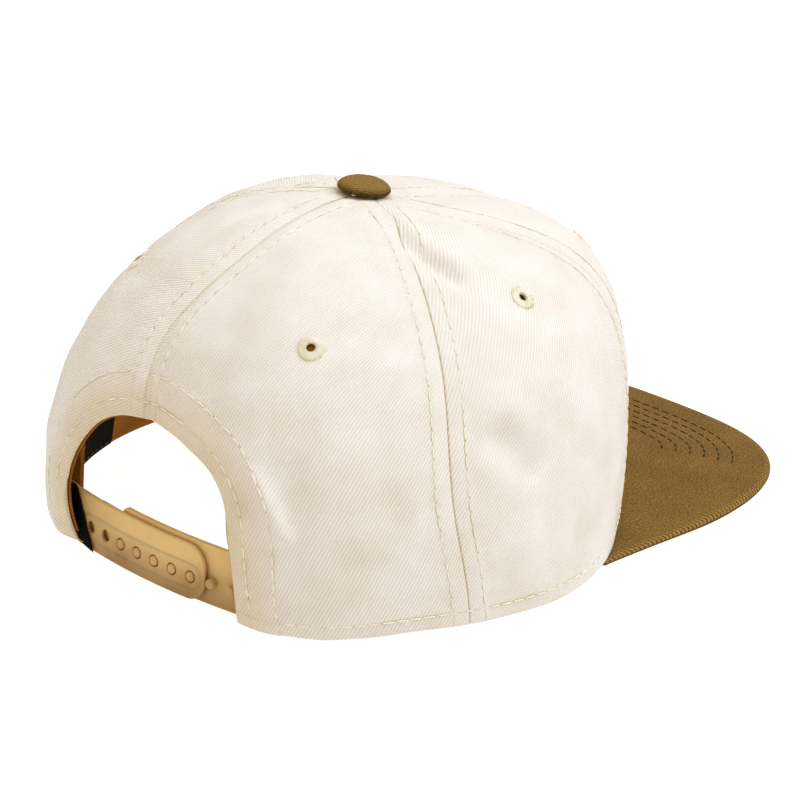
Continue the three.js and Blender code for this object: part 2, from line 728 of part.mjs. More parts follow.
// The tab, flat on the strap's left root.
function tabGeometry() {
  return closedSheet(3, 1, (column, row, layer) => {
    const inner = row === 0 ? TAB.highInner : TAB.lowInner;
    const x = TAB.outer + ((inner - TAB.outer) * column) / 3;
    const z = row === 0 ? TAB.high : TAB.low;
    return strapPoint(x, z, -GAP - TAB_THICK + layer * TAB_THICK);
  });
}

// Named mesh in one of the finishes.
function piece(name, slot, geometry) {
  const mesh = new THREE.Mesh(geometry, new THREE.MeshStandardMaterial({ name: slot, ...FINISHES[slot] }));
  mesh.name = name;
  return mesh;
}

// The whole cap, standing over the origin.
function cap() {
  const group = new THREE.Group();
  group.name = "snapback_cap";
  for (const panel of PANELS) {
    group.add(piece(`panel_${panel.name}`, "twill_ecru", panelGeometry(panel)));
    group.add(piece(`eyelet_${panel.name}`, "thread_cream", eyeletGeometry(panel)));
  }
  group.add(piece("peak", "twill_brown", peakGeometry()));
  group.add(piece("top_button", "twill_brown", buttonGeometry()));
  group.add(piece("sweatband", "band_tan", bandGeometry()));
  group.add(piece("opening_tape", "band_tan", tapeGeometry()));
  group.add(piece("inner_label", "woven_black", labelGeometry()));
  group.add(piece("side_tab", "woven_black", tabGeometry()));
  group.add(piece("strap_left", "plastic_tan", strapLeftGeometry()));
  group.add(piece("strap_right", "plastic_tan", strapRightGeometry()));
  const box = new THREE.Box3().setFromObject(group, true);
  const middle = box.getCenter(new THREE.Vector3());
  for (const mesh of group.children) {
    mesh.geometry.translate(-middle.x, -middle.y, -box.min.z);
  }
  return group;
}

export default cap();
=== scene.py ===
"""Looks of a snapback cap: ecru twill crown, brown twill peak, tan sweatband and a snap strap of tan plastic.

Sizes are millimetres in the cap's own frame, where the peak points to -Y and the wearer's right is -X.
Azimuths are degrees round the crown: 0 is the front, 90 the wearer's right, 180 the back.
"""

import logging
import math
import random
from dataclasses import dataclass
from enum import Enum
from typing import Callable, Optional, Sequence

import bmesh
import bpy
import numpy as np
from mathutils import Matrix, Vector
from mathutils.kdtree import KDTree


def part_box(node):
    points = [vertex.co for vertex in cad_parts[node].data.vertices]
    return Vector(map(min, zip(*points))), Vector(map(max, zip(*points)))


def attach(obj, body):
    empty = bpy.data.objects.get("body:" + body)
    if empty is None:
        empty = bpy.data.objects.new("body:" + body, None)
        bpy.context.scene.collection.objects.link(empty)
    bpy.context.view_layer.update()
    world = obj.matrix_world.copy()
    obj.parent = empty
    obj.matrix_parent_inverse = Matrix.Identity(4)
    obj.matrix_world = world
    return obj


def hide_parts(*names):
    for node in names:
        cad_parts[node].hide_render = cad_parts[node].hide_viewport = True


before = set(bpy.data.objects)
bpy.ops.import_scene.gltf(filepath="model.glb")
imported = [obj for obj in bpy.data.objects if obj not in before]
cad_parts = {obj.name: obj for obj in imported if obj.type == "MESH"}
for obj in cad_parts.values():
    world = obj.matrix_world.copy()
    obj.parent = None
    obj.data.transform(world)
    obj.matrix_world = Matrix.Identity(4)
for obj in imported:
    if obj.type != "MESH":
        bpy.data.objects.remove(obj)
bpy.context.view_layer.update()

LOG = logging.getLogger("cap")
MM = 0.001
RAD = math.pi / 180
CLOTH_UV = "cloth"
UV_PER_MM = 0.01
WELD = 0.001
Colour = tuple[float, float, float]
Box = tuple[float, float, float, float]


class Side(Enum):
    """Side of the wearer."""

    RIGHT = "right"
    LEFT = "left"


class Slot(Enum):
    """Material slots of the record."""

    CROWN = "twill_ecru"
    PEAK = "twill_brown"
    THREAD = "thread_cream"
    BAND = "band_tan"
    STRAP = "plastic_tan"
    LABEL = "woven_black"


# Curves and easing.


def along_rows(values: np.ndarray, place: np.ndarray, closed: bool = False) -> np.ndarray:
    """Gives a table's value on the smooth curve through its rows.

    Args:
        values: one column of the table.
        place: places counted in rows, 0 at the first.
        closed: whether the last row leads on to the first. An open table is held at its ends.

    Returns:
        The values there.
    """
    last = len(values) - 1
    row = np.floor(place).astype(int)
    row = row if closed else np.clip(row, 0, last - 1)
    near = [row + k if closed else np.clip(row + k, 0, last) for k in (-1, 0, 1, 2)]
    a, b, c, d = (values[index % len(values)] for index in near)
    share = place - row
    bend = 2 * a - 5 * b + 4 * c - d
    twist = 3 * b - a - 3 * c + d
    return 0.5 * (2 * b + (c - a) * share + bend * share**2 + twist * share**3)


def eased(value: np.ndarray, low: float, high: float) -> np.ndarray:
    """Returns a step that eases from 0 at low to 1 at high."""
    share = np.clip((value - low) / (high - low), 0, 1)
    return share * share * (3 - 2 * share)


def hump(value: np.ndarray, middle: float, wide: float) -> np.ndarray:
    """Returns a bell of height 1 round a middle, so wide."""
    return np.exp(-(((value - middle) / wide) ** 2))


def rolled_drop(distance: np.ndarray, radius: object) -> np.ndarray:
    """Returns how far an edge rolled to a radius drops at a distance in from it."""
    into = np.clip(1 - distance / radius, 0, 1)
    return radius * (1 - np.sqrt(1 - into**2))


def unit(vectors: np.ndarray) -> np.ndarray:
    """Returns the vectors at length 1."""
    return vectors / np.maximum(np.linalg.norm(vectors, axis=-1, keepdims=True), 1e-9)


def nearest(points: np.ndarray, line: np.ndarray) -> np.ndarray:
    """Gives the distance from each point to the nearest corner of a line.

    Args:
        points: points, one per row, flat or in space.
        line: closely set corners of the line.

    Returns:
        One distance per point.
    """
    spare = ((0, 0), (0, 3 - line.shape[1]))
    tree = KDTree(len(line))
    for index, corner in enumerate(np.pad(line, spare)):
        tree.insert(corner, index)
    tree.balance()
    return np.array([tree.find(point)[2] for point in np.pad(points, spare)])


def run_along(line: np.ndarray) -> np.ndarray:
    """Returns the length of a line up to each of its corners."""
    return np.concatenate([[0], np.cumsum(np.linalg.norm(np.diff(line, axis=0), axis=1))])


def even_steps(line: np.ndarray, step: float) -> np.ndarray:
    """Finds places an even step apart along a line.

    Args:
        line: corners of the line.
        step: distance between two places.

    Returns:
        The places as counts of corners.
    """
    run = run_along(line)
    count = max(int(run[-1] / step), 1)
    wanted = (np.arange(count) + 0.5) * run[-1] / count
    return np.interp(wanted, run, np.arange(len(line)))


def round_axis(azimuth: np.ndarray, radius: np.ndarray, up: np.ndarray) -> np.ndarray:
    """Returns points at azimuths, radii and heights."""
    return np.stack([-radius * np.sin(azimuth * RAD), -radius * np.cos(azimuth * RAD), up], axis=-1)


def azimuth_of(points: np.ndarray) -> np.ndarray:
    """Returns the azimuths of points."""
    return np.arctan2(-points[:, 0], -points[:, 1]) / RAD


def radius_of(points: np.ndarray) -> np.ndarray:
    """Returns how far points lie from the axis."""
    return np.hypot(points[..., 0], points[..., 1])


# The form of the crown.


@dataclass(frozen=True)
class Section:
    """Upright section of the crown at an azimuth."""

    at: float
    rim: float
    top: float
    belly: float
    waist: float
    lift: float


@dataclass(frozen=True)
class Fold:
    """Dent (negative) or fold (positive) in the crown."""

    at: float
    fall: float
    wide: float
    tall: float
    deep: float


@dataclass(frozen=True)
class Crease:
    """Narrow crease (negative) or ridge (positive) between two places, each an azimuth and a fall."""

    start: tuple[float, float]
    end: tuple[float, float]
    wide: float
    deep: float


@dataclass(frozen=True)
class PanelPlan:
    """Crown panel from one seam to the next, with its eyelet's place and the turn of its weave."""

    name: str
    start: int
    end: int
    eye_share: float
    eye_fall: float
    arch: Optional[Side] = None
    grain: float = 0.0


@dataclass(frozen=True)
class OpeningRow:
    """Height on the opening's edge, and how far the edge reaches each way there."""

    up: float
    right: float
    left: float


SECTIONS = (
    Section(0, 92, 0.72, 10, 0.97, 9.5),
    Section(30, 89.8, 0.72, 9.9, 0.95, 8.5),
    Section(60, 88.7, 0.69, 2.3, 0.832, 6),
    Section(90, 92.7, 0.69, 0.9, 0.655, 4.6),
    Section(120, 91.9, 0.75, 3.1, 0.527, 2.6),
    Section(150, 93.5, 0.82, 10.5, 0.468, 0),
    Section(180, 84.7, 0.87, 15.7, 0.468, 9),
    Section(210, 94.5, 0.79, 12.1, 0.429, 2.4),
    Section(240, 92.9, 0.72, 6.1, 0.507, 2.4),
    Section(270, 91.5, 0.67, 3.5, 0.645, 3.7),
    Section(300, 90, 0.68, 4.7, 0.783, 6),
    Section(330, 91.3, 0.7, 8.2, 0.911, 8.5),
)
SEAMS = (
    (0, 0, 0, 0, 0),
    (56, 48, 44, 43, 46),
    (108, 114.3, 115.7, 116.2, 112),
    (184, 183.8, 188, 182, 180),
    (250, 246, 244.5, 244, 248),
    (304, 312, 316, 317, 314),
)
PANELS = (
    PanelPlan("front_right", 0, 1, 0.5, 0.56),
    PanelPlan("side_right", 1, 2, 0.55, 0.415),
    PanelPlan("back_right", 2, 3, 0.45, 0.426, Side.RIGHT, 11.0),
    PanelPlan("back_left", 3, 4, 0.6, 0.41, Side.LEFT, -8.5),
    PanelPlan("side_left", 4, 5, 0.5, 0.5),
    PanelPlan("front_left", 5, 0, 0.5, 0.56),
)
FOLDS = (
    Fold(104, 0.24, 9, 0.06, -2),
    Fold(148, 0.71, 5, 0.09, -2.4),
    Fold(156, 0.74, 3.5, 0.16, 1),
    Fold(96, 0.73, 8, 0.09, -1.8),
    Fold(264, 0.7, 9, 0.1, -1.5),
)
CREASES = (
    Crease((116.5, 0.11), (97.0, 0.36), 3.4, -2.5),
    Crease((111.5, 0.075), (92.0, 0.325), 3.6, 1.3),
    Crease((96.0, 0.34), (88.0, 0.43), 4.0, -0.6),
    Crease((107.5, 0.625), (96.0, 0.775), 5.5, -2.2),
    Crease((102.0, 0.58), (91.0, 0.72), 5.5, 1.2),
    Crease((99.0, 0.86), (84.0, 0.9), 7.0, -0.8),
    Crease((90.0, 0.6), (82.0, 0.8), 6.0, -0.7),
    Crease((124.4, 0.69), (120.2, 0.775), 4.0, -0.7),
    Crease((134.0, 0.6), (126.0, 0.8), 5.0, -0.6),
    Crease((141.2, 0.094), (125.7, 0.372), 6.0, -0.9),
    Crease((155.6, 0.66), (146.6, 0.82), 2.6, 1.7),
    Crease((158.0, 0.7), (149.5, 0.86), 3.4, -1.0),
    Crease((150.0, 0.56), (128.0, 0.6), 7.0, -0.8),
    Crease((199.0, 0.1), (209.0, 0.24), 3.0, -0.9),
    Crease((191.0, 0.16), (204.0, 0.47), 4.5, 0.6),
    Crease((240.7, 0.297), (259.7, 0.112), 5.0, -0.9),
)
OPENING = (
    OpeningRow(55, -3, 3),
    OpeningRow(53, 10, 15),
    OpeningRow(48.9, 21.5, 23),
    OpeningRow(43.2, 28.6, 28.2),
    OpeningRow(34.7, 33.1, 33.3),
    OpeningRow(22.7, 35.3, 37),
    OpeningRow(10.7, 36.2, 36),
    OpeningRow(0, 36.8, 31),
)


@dataclass(frozen=True)
class CrownForm:
    """The crown's surface: every piece of the cap is laid out on it."""

    height: float = 110.7
    sink_front: float = 15.4
    sink_side: float = 1.8
    sink_back: float = -1.6
    puff: float = 2.2
    puff_full_fall: float = 0.3
    puff_rim_share: float = 0.15
    tip_radius: float = 4.5
    arch_share: float = 9 / 21

    def section(self, key: str, azimuth: np.ndarray) -> np.ndarray:
        """Returns one measure of the sections, by its name, at azimuths."""
        values = np.array([getattr(row, key) for row in SECTIONS])
        return along_rows(values, np.mod(azimuth, 360) / (360 / len(values)), closed=True)

    def rim_lift(self, azimuth: np.ndarray) -> np.ndarray:
        """Returns the height of the crown's lower edge."""
        return np.maximum(self.section("lift", azimuth), 0)

    def top_sink(self, azimuth: np.ndarray) -> np.ndarray:
        """Returns how far the top sinks towards an azimuth."""
        c = np.cos(azimuth * RAD)
        lean = (self.sink_front - self.sink_back) / 2
        cup = (self.sink_front + self.sink_back) / 2 - self.sink_side
        return self.sink_side + lean * c + cup * c * c

    def point(self, azimuth: np.ndarray, fall: np.ndarray) -> np.ndarray:
        """Gives points of the smooth crown.

        Args:
            azimuth: azimuths in degrees.
            fall: 0 at the button and 1 at the rim.

        Returns:
            Points, one per row.
        """
        azimuth, fall = np.broadcast_arrays(np.asarray(azimuth, float), np.asarray(fall, float))
        rest = 1 - fall
        near_top, near_rim, low = 3 * fall * rest**2, 3 * fall**2 * rest, fall**3
        rim = self.section("rim", azimuth)
        bulge = rim + self.section("belly", azimuth)
        radius = near_top * self.section("top", azimuth) * rim + near_rim * bulge + low * rim
        shoulder = self.height - self.top_sink(azimuth)
        waist = self.section("waist", azimuth) * self.height
        up = rest**3 * self.height + near_top * shoulder + near_rim * waist + low * self.rim_lift(azimuth)
        return round_axis(azimuth, radius, up)

    def normal(self, azimuth: np.ndarray, fall: np.ndarray) -> np.ndarray:
        """Gives the outward direction, which turns level at the rim.

        Args:
            azimuth: azimuths in degrees.
            fall: 0 at the button and 1 at the rim.

        Returns:
            Directions of length 1, one per row.
        """
        step = 0.002
        low = np.maximum(np.asarray(fall) - step, 0.004)
        down = self.point(azimuth, fall + step) - self.point(azimuth, low)
        across = self.point(azimuth + 0.2, fall) - self.point(azimuth - 0.2, fall)
        out = unit(np.cross(across, down))
        out[..., 2] *= 1 - eased(fall, 0.88, 1)
        return unit(out)

    def seam(self, index: int, fall: np.ndarray) -> np.ndarray:
        """Returns the azimuth of a seam at falls."""
        places = np.array(SEAMS[index], float)
        return along_rows(places, np.asarray(fall, float) * (len(places) - 1))

    def seams_of(self, plan: PanelPlan, fall: np.ndarray) -> tuple[np.ndarray, np.ndarray]:
        """Returns the azimuths of a panel's two seams at falls."""
        return self.seam(plan.start, fall), self.seam(plan.end, fall) + (360 if plan.end == 0 else 0)

    def across_panel(self, plan: PanelPlan, share: np.ndarray, fall: np.ndarray) -> np.ndarray:
        """Returns the azimuth at a share of the way across a panel."""
        start, end = self.seams_of(plan, fall)
        return start + (end - start) * share

    def share_across(self, azimuth: np.ndarray, fall: np.ndarray) -> np.ndarray:
        """Gives the share of the way across its panel that each place is at.

        Args:
            azimuth: azimuths in degrees.
            fall: 0 at the button and 1 at the rim.

        Returns:
            Shares from 0 to 1.
        """
        turned, fall = np.broadcast_arrays(np.mod(azimuth, 360), np.asarray(fall, float))
        share = np.zeros(turned.shape)
        for plan in PANELS:
            start, end = self.seams_of(plan, fall)
            inside = (turned >= start) & (turned <= end)
            share = np.where(inside, (turned - start) / (end - start), share)
        return share

    def rise(self, azimuth: np.ndarray, fall: np.ndarray, share: Optional[np.ndarray] = None) -> np.ndarray:
        """Gives how far the cloth stands off the smooth crown.

        Args:
            azimuth: azimuths in degrees.
            fall: 0 at the button and 1 at the rim.
            share: share of the way across the panel, where it is known.

        Returns:
            The rise from the panel's puff, the dents, the folds and the creases.
        """
        share = self.share_across(azimuth, fall) if share is None else np.clip(share, 0, 1)
        across = np.abs(np.sin(np.pi * share)) ** 0.75 - 0.5
        fullness = eased(fall, 0.02, self.puff_full_fall)
        fade = 1 - (1 - self.puff_rim_share) * eased(fall, 0.6, 1)
        rise = self.puff * across * fullness * fade
        turned = np.mod(azimuth, 360)
        for fold in FOLDS:
            rise = rise + fold.deep * hump(turned, fold.at, fold.wide) * hump(fall, fold.fall, fold.tall)
        spots = self.point(turned, fall)
        for crease in CREASES:
            rise = rise + self.crease(crease, spots)
        return rise

    def crease(self, crease: Crease, spots: np.ndarray) -> np.ndarray:
        """Gives how far one crease lifts the cloth.

        Args:
            crease: the crease.
            spots: points of the smooth crown.

        Returns:
            The lift at each.
        """
        places = np.linspace(0, 1, 61)
        ends = zip(crease.start, crease.end)
        line = self.point(*(first + (last - first) * places for first, last in ends))
        flat = spots.reshape(-1, 3)
        reach = np.linalg.norm(line[-1] - line[0]) / 2 + 3 * crease.wide
        close = np.flatnonzero(np.linalg.norm(flat - line[30], axis=1) < reach)
        lift = np.zeros(len(flat))
        if len(close):
            gaps = np.linalg.norm(flat[close][:, None] - line[None], axis=-1)
            share = places[gaps.argmin(axis=1)]
            ends_eased = eased(share, -0.02, 0.22) * (1 - eased(share, 0.78, 1.02))
            lift[close] = crease.deep * hump(gaps.min(axis=1), 0, crease.wide) * ends_eased
        return lift.reshape(spots.shape[:-1])

    def cloth(
        self, azimuth: np.ndarray, fall: np.ndarray, depth: np.ndarray, share: Optional[np.ndarray] = None
    ) -> np.ndarray:
        """Returns points at a depth below the cloth's outer face."""
        stand = self.rise(azimuth, fall, share) - depth
        return self.point(azimuth, fall) + self.normal(azimuth, fall) * np.asarray(stand)[..., None]

    def fall_at_height(self, azimuth: np.ndarray, height: np.ndarray) -> np.ndarray:
        """Gives the fall at which the lower part of the smooth crown has a height.

        Args:
            azimuth: azimuths in degrees.
            height: heights.

        Returns:
            Falls.
        """
        azimuth, height = np.broadcast_arrays(np.asarray(azimuth, float), np.asarray(height, float))
        high, low = np.full(azimuth.shape, 0.25), np.ones(azimuth.shape)
        for _ in range(24):
            middle = (high + low) / 2
            above = self.point(azimuth, middle)[..., 2] > height
            high, low = np.where(above, middle, high), np.where(above, low, middle)
        return (high + low) / 2

    def opening_edge(self, side: Side, place: np.ndarray) -> tuple[np.ndarray, np.ndarray]:
        """Gives the edge of the back opening.

        Args:
            side: side of the wearer.
            place: places counted in rows of the opening's table.

        Returns:
            Azimuths and falls.
        """
        up = np.maximum(along_rows(np.array([row.up for row in OPENING], float), place), 0)
        reach = along_rows(np.array([getattr(row, side.value) for row in OPENING], float), place)
        x = -reach if side is Side.RIGHT else reach
        azimuth = np.full(up.shape, 180.0)
        for _ in range(12):
            fall = self.fall_at_height(azimuth, up)
            spot = self.point(azimuth, fall)
            azimuth = 180 + np.arcsin(x / radius_of(spot)) / RAD
        return azimuth, fall

    def opening_line(self, count: int = 241) -> tuple[np.ndarray, np.ndarray]:
        """Gives the whole edge of the opening, from its right foot over the top to its left.

        Args:
            count: number of places on it.

        Returns:
            Azimuths and falls.
        """
        signed = np.linspace(-1, 1, count) * (len(OPENING) - 1)
        right = self.opening_edge(Side.RIGHT, np.abs(signed[signed < 0]))
        left = self.opening_edge(Side.LEFT, np.abs(signed[signed >= 0]))
        return np.concatenate([right[0], left[0]]), np.concatenate([right[1], left[1]])

    def beside(
        self, azimuth: np.ndarray, fall: np.ndarray, way: np.ndarray, distance: np.ndarray, steps: int = 4
    ) -> tuple[np.ndarray, np.ndarray]:
        """Walks along the crown from places on it.

        Args:
            azimuth, fall: where the walk starts.
            way: its directions.
            distance: its length.
            steps: number of steps that it is cut into.

        Returns:
            Azimuths and falls at its end.
        """
        azimuth, fall = np.array(azimuth, float), np.array(fall, float)
        for _ in range(steps):
            here = self.point(azimuth, fall)
            around = (self.point(azimuth + 0.5, fall) - here) * 2
            down = (self.point(azimuth, fall - 0.01) - here) * -100
            a, b, c = (around**2).sum(-1), (around * down).sum(-1), (down**2).sum(-1)
            p, q = (around * way).sum(-1) * distance / steps, (down * way).sum(-1) * distance / steps
            det = a * c - b * b
            azimuth, fall = azimuth + (p * c - q * b) / det, fall + (q * a - p * b) / det
        return azimuth, fall

    def away_from_opening(self, azimuth: np.ndarray, fall: np.ndarray) -> np.ndarray:
        """Gives the direction from the opening's edge into the cloth.

        Args:
            azimuth, fall: places in order along the edge.

        Returns:
            Directions of length 1.
        """
        line = self.point(azimuth, fall)
        along = unit(np.gradient(line, axis=0))
        way = unit(np.cross(self.normal(azimuth, fall), along))
        return way if way[len(way) // 2, 2] > 0 else -way

    def lower_edge(self, plan: PanelPlan, share: np.ndarray) -> tuple[np.ndarray, np.ndarray]:
        """Gives a panel's lower edge, along the opening where it is arched and then along the rim.

        Args:
            plan: the panel.
            share: shares of its width.

        Returns:
            Azimuths and falls.
        """
        if plan.arch is None:
            return self.across_panel(plan, share, np.ones(share.shape)), np.ones(share.shape)
        last = len(OPENING) - 1
        from_middle = 1 - share if plan.arch is Side.RIGHT else share
        place = np.minimum(from_middle / self.arch_share, 1) * last
        azimuth, fall = self.opening_edge(plan.arch, place)
        foot = self.opening_edge(plan.arch, np.array([float(last)]))[0][0]
        outer = self.across_panel(plan, 0.0 if plan.arch is Side.RIGHT else 1.0, np.ones(1))[0]
        past = np.clip((from_middle - self.arch_share) / (1 - self.arch_share), 0, 1)
        on_rim = from_middle > self.arch_share
        return np.where(on_rim, foot + (outer - foot) * past, azimuth), np.where(on_rim, 1.0, fall)

    def panel_places(
        self, plan: PanelPlan, share: np.ndarray, down: np.ndarray
    ) -> tuple[np.ndarray, np.ndarray, np.ndarray]:
        """Lays a flat grid out on a panel.

        Args:
            plan: the panel.
            share: share of the width.
            down: share of the way down.

        Returns:
            Azimuth, fall, and share of the way between the two seams there.
        """
        columns, back = np.unique(np.round(share, 7), return_inverse=True)
        edge_azimuth, edge_fall = (part[back] for part in self.lower_edge(plan, columns))
        top, rim = self.section("top", edge_azimuth), self.section("rim", edge_azimuth)
        start = self.tip_radius / (3 * top * rim) * 1.08
        fall = start + (edge_fall - start) * down
        first, last = self.seams_of(plan, edge_fall)
        edge_share = (edge_azimuth - first) / (last - first)
        across = share + (edge_share - share) * down**1.5
        if plan.arch is Side.LEFT:
            across = np.maximum(across, self.least_across(plan, share, fall))
        return self.across_panel(plan, across, fall), fall, across

    def least_across(self, plan: PanelPlan, share: np.ndarray, fall: np.ndarray) -> np.ndarray:
        """Gives the least share of the left back panel's width that clears the opening.

        Args:
            plan: the panel.
            share: shares of the width on the flat grid, from the middle seam.
            fall: falls.

        Returns:
            The least shares.
        """
        place = np.linspace(0, len(OPENING) - 1, 300)
        azimuth, low = self.opening_edge(plan.arch, place)
        first, last = self.seams_of(plan, low)
        low = np.maximum.accumulate(low)
        bound = np.interp(fall, low, (azimuth - first) / (last - first))
        own = np.interp(fall, low, place / place[-1] * self.arch_share)
        return bound + 0.6 * (share - own) * (1 - bound) / (1 - own)


FORM = CrownForm()


@dataclass(frozen=True)
class Bench:
    """Where the cap's own frame stands in the shared one."""

    peak_tip: float = 160.0

    def shift(self) -> np.ndarray:
        """Returns the move from the cap's own frame to the shared one, in millimetres."""
        low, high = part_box("top_button")
        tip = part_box("peak")[0]
        return np.array([(low.x + high.x) / 2 / MM, tip.y / MM + self.peak_tip, 0.0])


SHIFT = Bench().shift()


def placed(points: np.ndarray) -> np.ndarray:
    """Returns points of the cap's own frame in metres of the shared one."""
    return (points + SHIFT) * MM


# Making meshes.


def to_piece(
    shape: bmesh.types.BMesh, name: str, lay: Optional[Callable[[np.ndarray], np.ndarray]] = None, sharp: float = 40
) -> bpy.types.Object:
    """Turns a finished shape into an object.

    Args:
        shape: the shape, in millimetres, which is freed.
        name: name of the piece.
        lay: turns the shape's corners into points of the cap's own frame.
        sharp: angle in degrees past which an edge stays sharp.

    Returns:
        The object, at the origin.
    """
    mesh = bpy.data.meshes.new(name)
    shape.to_mesh(mesh)
    shape.free()
    corners = np.empty(len(mesh.vertices) * 3)
    mesh.vertices.foreach_get("co", corners)
    points = corners.reshape(-1, 3)
    points = placed(lay(points) if lay else points)
    mesh.vertices.foreach_set("co", points.ravel())
    mesh.update()
    mesh.shade_smooth()
    mesh.set_sharp_from_angle(angle=sharp * RAD)
    piece = bpy.data.objects.new(name, mesh)
    bpy.context.scene.collection.objects.link(piece)
    return piece


def write_uv(piece: bpy.types.Object, flat: np.ndarray) -> None:
    """Writes a UV map that measures the cloth.

    Args:
        piece: the piece.
        flat: one flat place in millimetres per corner.
    """
    mesh = piece.data
    order = np.empty(len(mesh.loops), dtype=np.int32)
    mesh.loops.foreach_get("vertex_index", order)
    layer = mesh.uv_layers.new(name=CLOTH_UV)
    layer.data.foreach_set("uv", (flat[order] * UV_PER_MM).astype(np.float32).ravel())


def write_attribute(piece: bpy.types.Object, name: str, values: np.ndarray) -> None:
    """Writes a named number per corner, which the piece's material reads."""
    attribute = piece.data.attributes.new(name, "FLOAT", "POINT")
    attribute.data.foreach_set("value", values.astype(np.float32))


def spun(profile: Sequence[tuple[float, float]], steps: int, closed: bool = True) -> bmesh.types.BMesh:
    """Spins a profile round the upright axis.

    Args:
        profile: corners, each a radius and a height.
        steps: faces round the axis.
        closed: whether the last corner joins the first.

    Returns:
        The shape.
    """
    shape = bmesh.new()
    corners = [shape.verts.new((out, 0, up)) for out, up in profile]
    after = corners[1:] + corners[:1] if closed else corners[1:]
    edges = [shape.edges.new(pair) for pair in zip(corners, after)]
    bmesh.ops.spin(
        shape, geom=corners + edges, cent=(0, 0, 0), axis=(0, 0, 1), angle=2 * math.pi, steps=steps, use_merge=True
    )
    bmesh.ops.remove_doubles(shape, verts=shape.verts[:], dist=WELD)
    bmesh.ops.recalc_face_normals(shape, faces=shape.faces[:])
    return shape


def thicken(shape: bmesh.types.BMesh, thick: float) -> None:
    """Fills flat outlines and makes them a plate.

    Args:
        shape: the outlines, at height 0.
        thick: thickness of the plate, which lies below them.
    """
    bmesh.ops.triangle_fill(shape, edges=shape.edges[:], use_beauty=True, use_dissolve=False)
    bmesh.ops.recalc_face_normals(shape, faces=shape.faces[:])
    made = bmesh.ops.extrude_face_region(shape, geom=shape.faces[:])["geom"]
    lower = [part for part in made if isinstance(part, bmesh.types.BMVert)]
    bmesh.ops.translate(shape, verts=lower, vec=(0, 0, -thick))
    bmesh.ops.recalc_face_normals(shape, faces=shape.faces[:])


def corner_edges(shape: bmesh.types.BMesh) -> list[bmesh.types.BMEdge]:
    """Returns the edges of a plate at which its faces turn a corner."""
    return [edge for edge in shape.edges if edge.is_manifold and edge.calc_face_angle() > 60 * RAD]


class Sheet:
    """A sheet of cloth with an outer and an inner face, made flat and then laid in place."""

    STEP = 0.01

    def __init__(
        self,
        columns: int,
        rows: int,
        crowded: tuple[float, float] = (0, 0),
        in_hole: Optional[Callable[[np.ndarray, np.ndarray], np.ndarray]] = None,
    ) -> None:
        """Makes the flat sheet.

        Args:
            columns, rows: faces across and down.
            crowded: how much the columns and rows crowd at the edges, from 0 to below 1.
            in_hole: tells which faces lie in a hole, from their share across and down.
        """
        self.crowded = crowded
        self.shape = bmesh.new()
        bmesh.ops.create_grid(self.shape, x_segments=columns, y_segments=rows, size=1.0)
        if in_hole is not None:
            middles = np.array([face.calc_center_median()[:2] for face in self.shape.faces])
            gone = in_hole(*self.shares(middles))
            cut = [face for face, out in zip(self.shape.faces, gone) if out]
            bmesh.ops.delete(self.shape, geom=cut, context="FACES")
        self.line_it()
        corners = np.array([corner.co[:] for corner in self.shape.verts])
        self.share, self.down = self.shares(corners)
        self.inner = corners[:, 2] < -self.STEP / 2

    def shares(self, flat: np.ndarray) -> tuple[np.ndarray, np.ndarray]:
        """Returns the shares across and down of flat places."""
        both = ((1 - flat[:, 0]) / 2, (1 - flat[:, 1]) / 2)
        return tuple(s - k * np.sin(2 * np.pi * s) / (2 * np.pi) for s, k in zip(both, self.crowded))

    def depth(self, edge: np.ndarray, radius: float, thick: float) -> np.ndarray:
        """Returns the depth of each corner, by its distance from an edge rolled to a radius."""
        roll = rolled_drop(edge, radius)
        return np.where(self.inner, thick - roll, roll)

    def line_it(self) -> None:
        """Adds the inner face and closes the edges."""
        shape = self.shape
        twin = bmesh.ops.duplicate(shape, geom=shape.verts[:] + shape.edges[:] + shape.faces[:])["geom"]
        corners = [part for part in twin if isinstance(part, bmesh.types.BMVert)]
        bmesh.ops.translate(shape, verts=corners, vec=(0, 0, -self.STEP))
        bmesh.ops.reverse_faces(shape, faces=[part for part in twin if isinstance(part, bmesh.types.BMFace)])
        open_edges = [edge for edge in shape.edges if edge.is_boundary]
        outside = [e for e in open_edges if all(max(abs(v.co.x), abs(v.co.y)) > 0.9999 for v in e.verts)]
        hole = [edge for edge in open_edges if edge not in set(outside)]
        for loop in (outside, hole):
            if loop:
                bmesh.ops.bridge_loops(shape, edges=loop)
        bmesh.ops.recalc_face_normals(shape, faces=shape.faces[:])

    def laid(self, name: str, points: np.ndarray, flat: np.ndarray, sharp: float = 50) -> bpy.types.Object:
        """Lays the sheet in place.

        Args:
            name: name of the piece.
            points: one point per corner.
            flat: the corner's flat place in millimetres, for the weave.
            sharp: angle in degrees past which an edge stays sharp.

        Returns:
            The piece.
        """
        piece = to_piece(self.shape, name, lambda _: points, sharp)
        write_uv(piece, flat)
        return piece


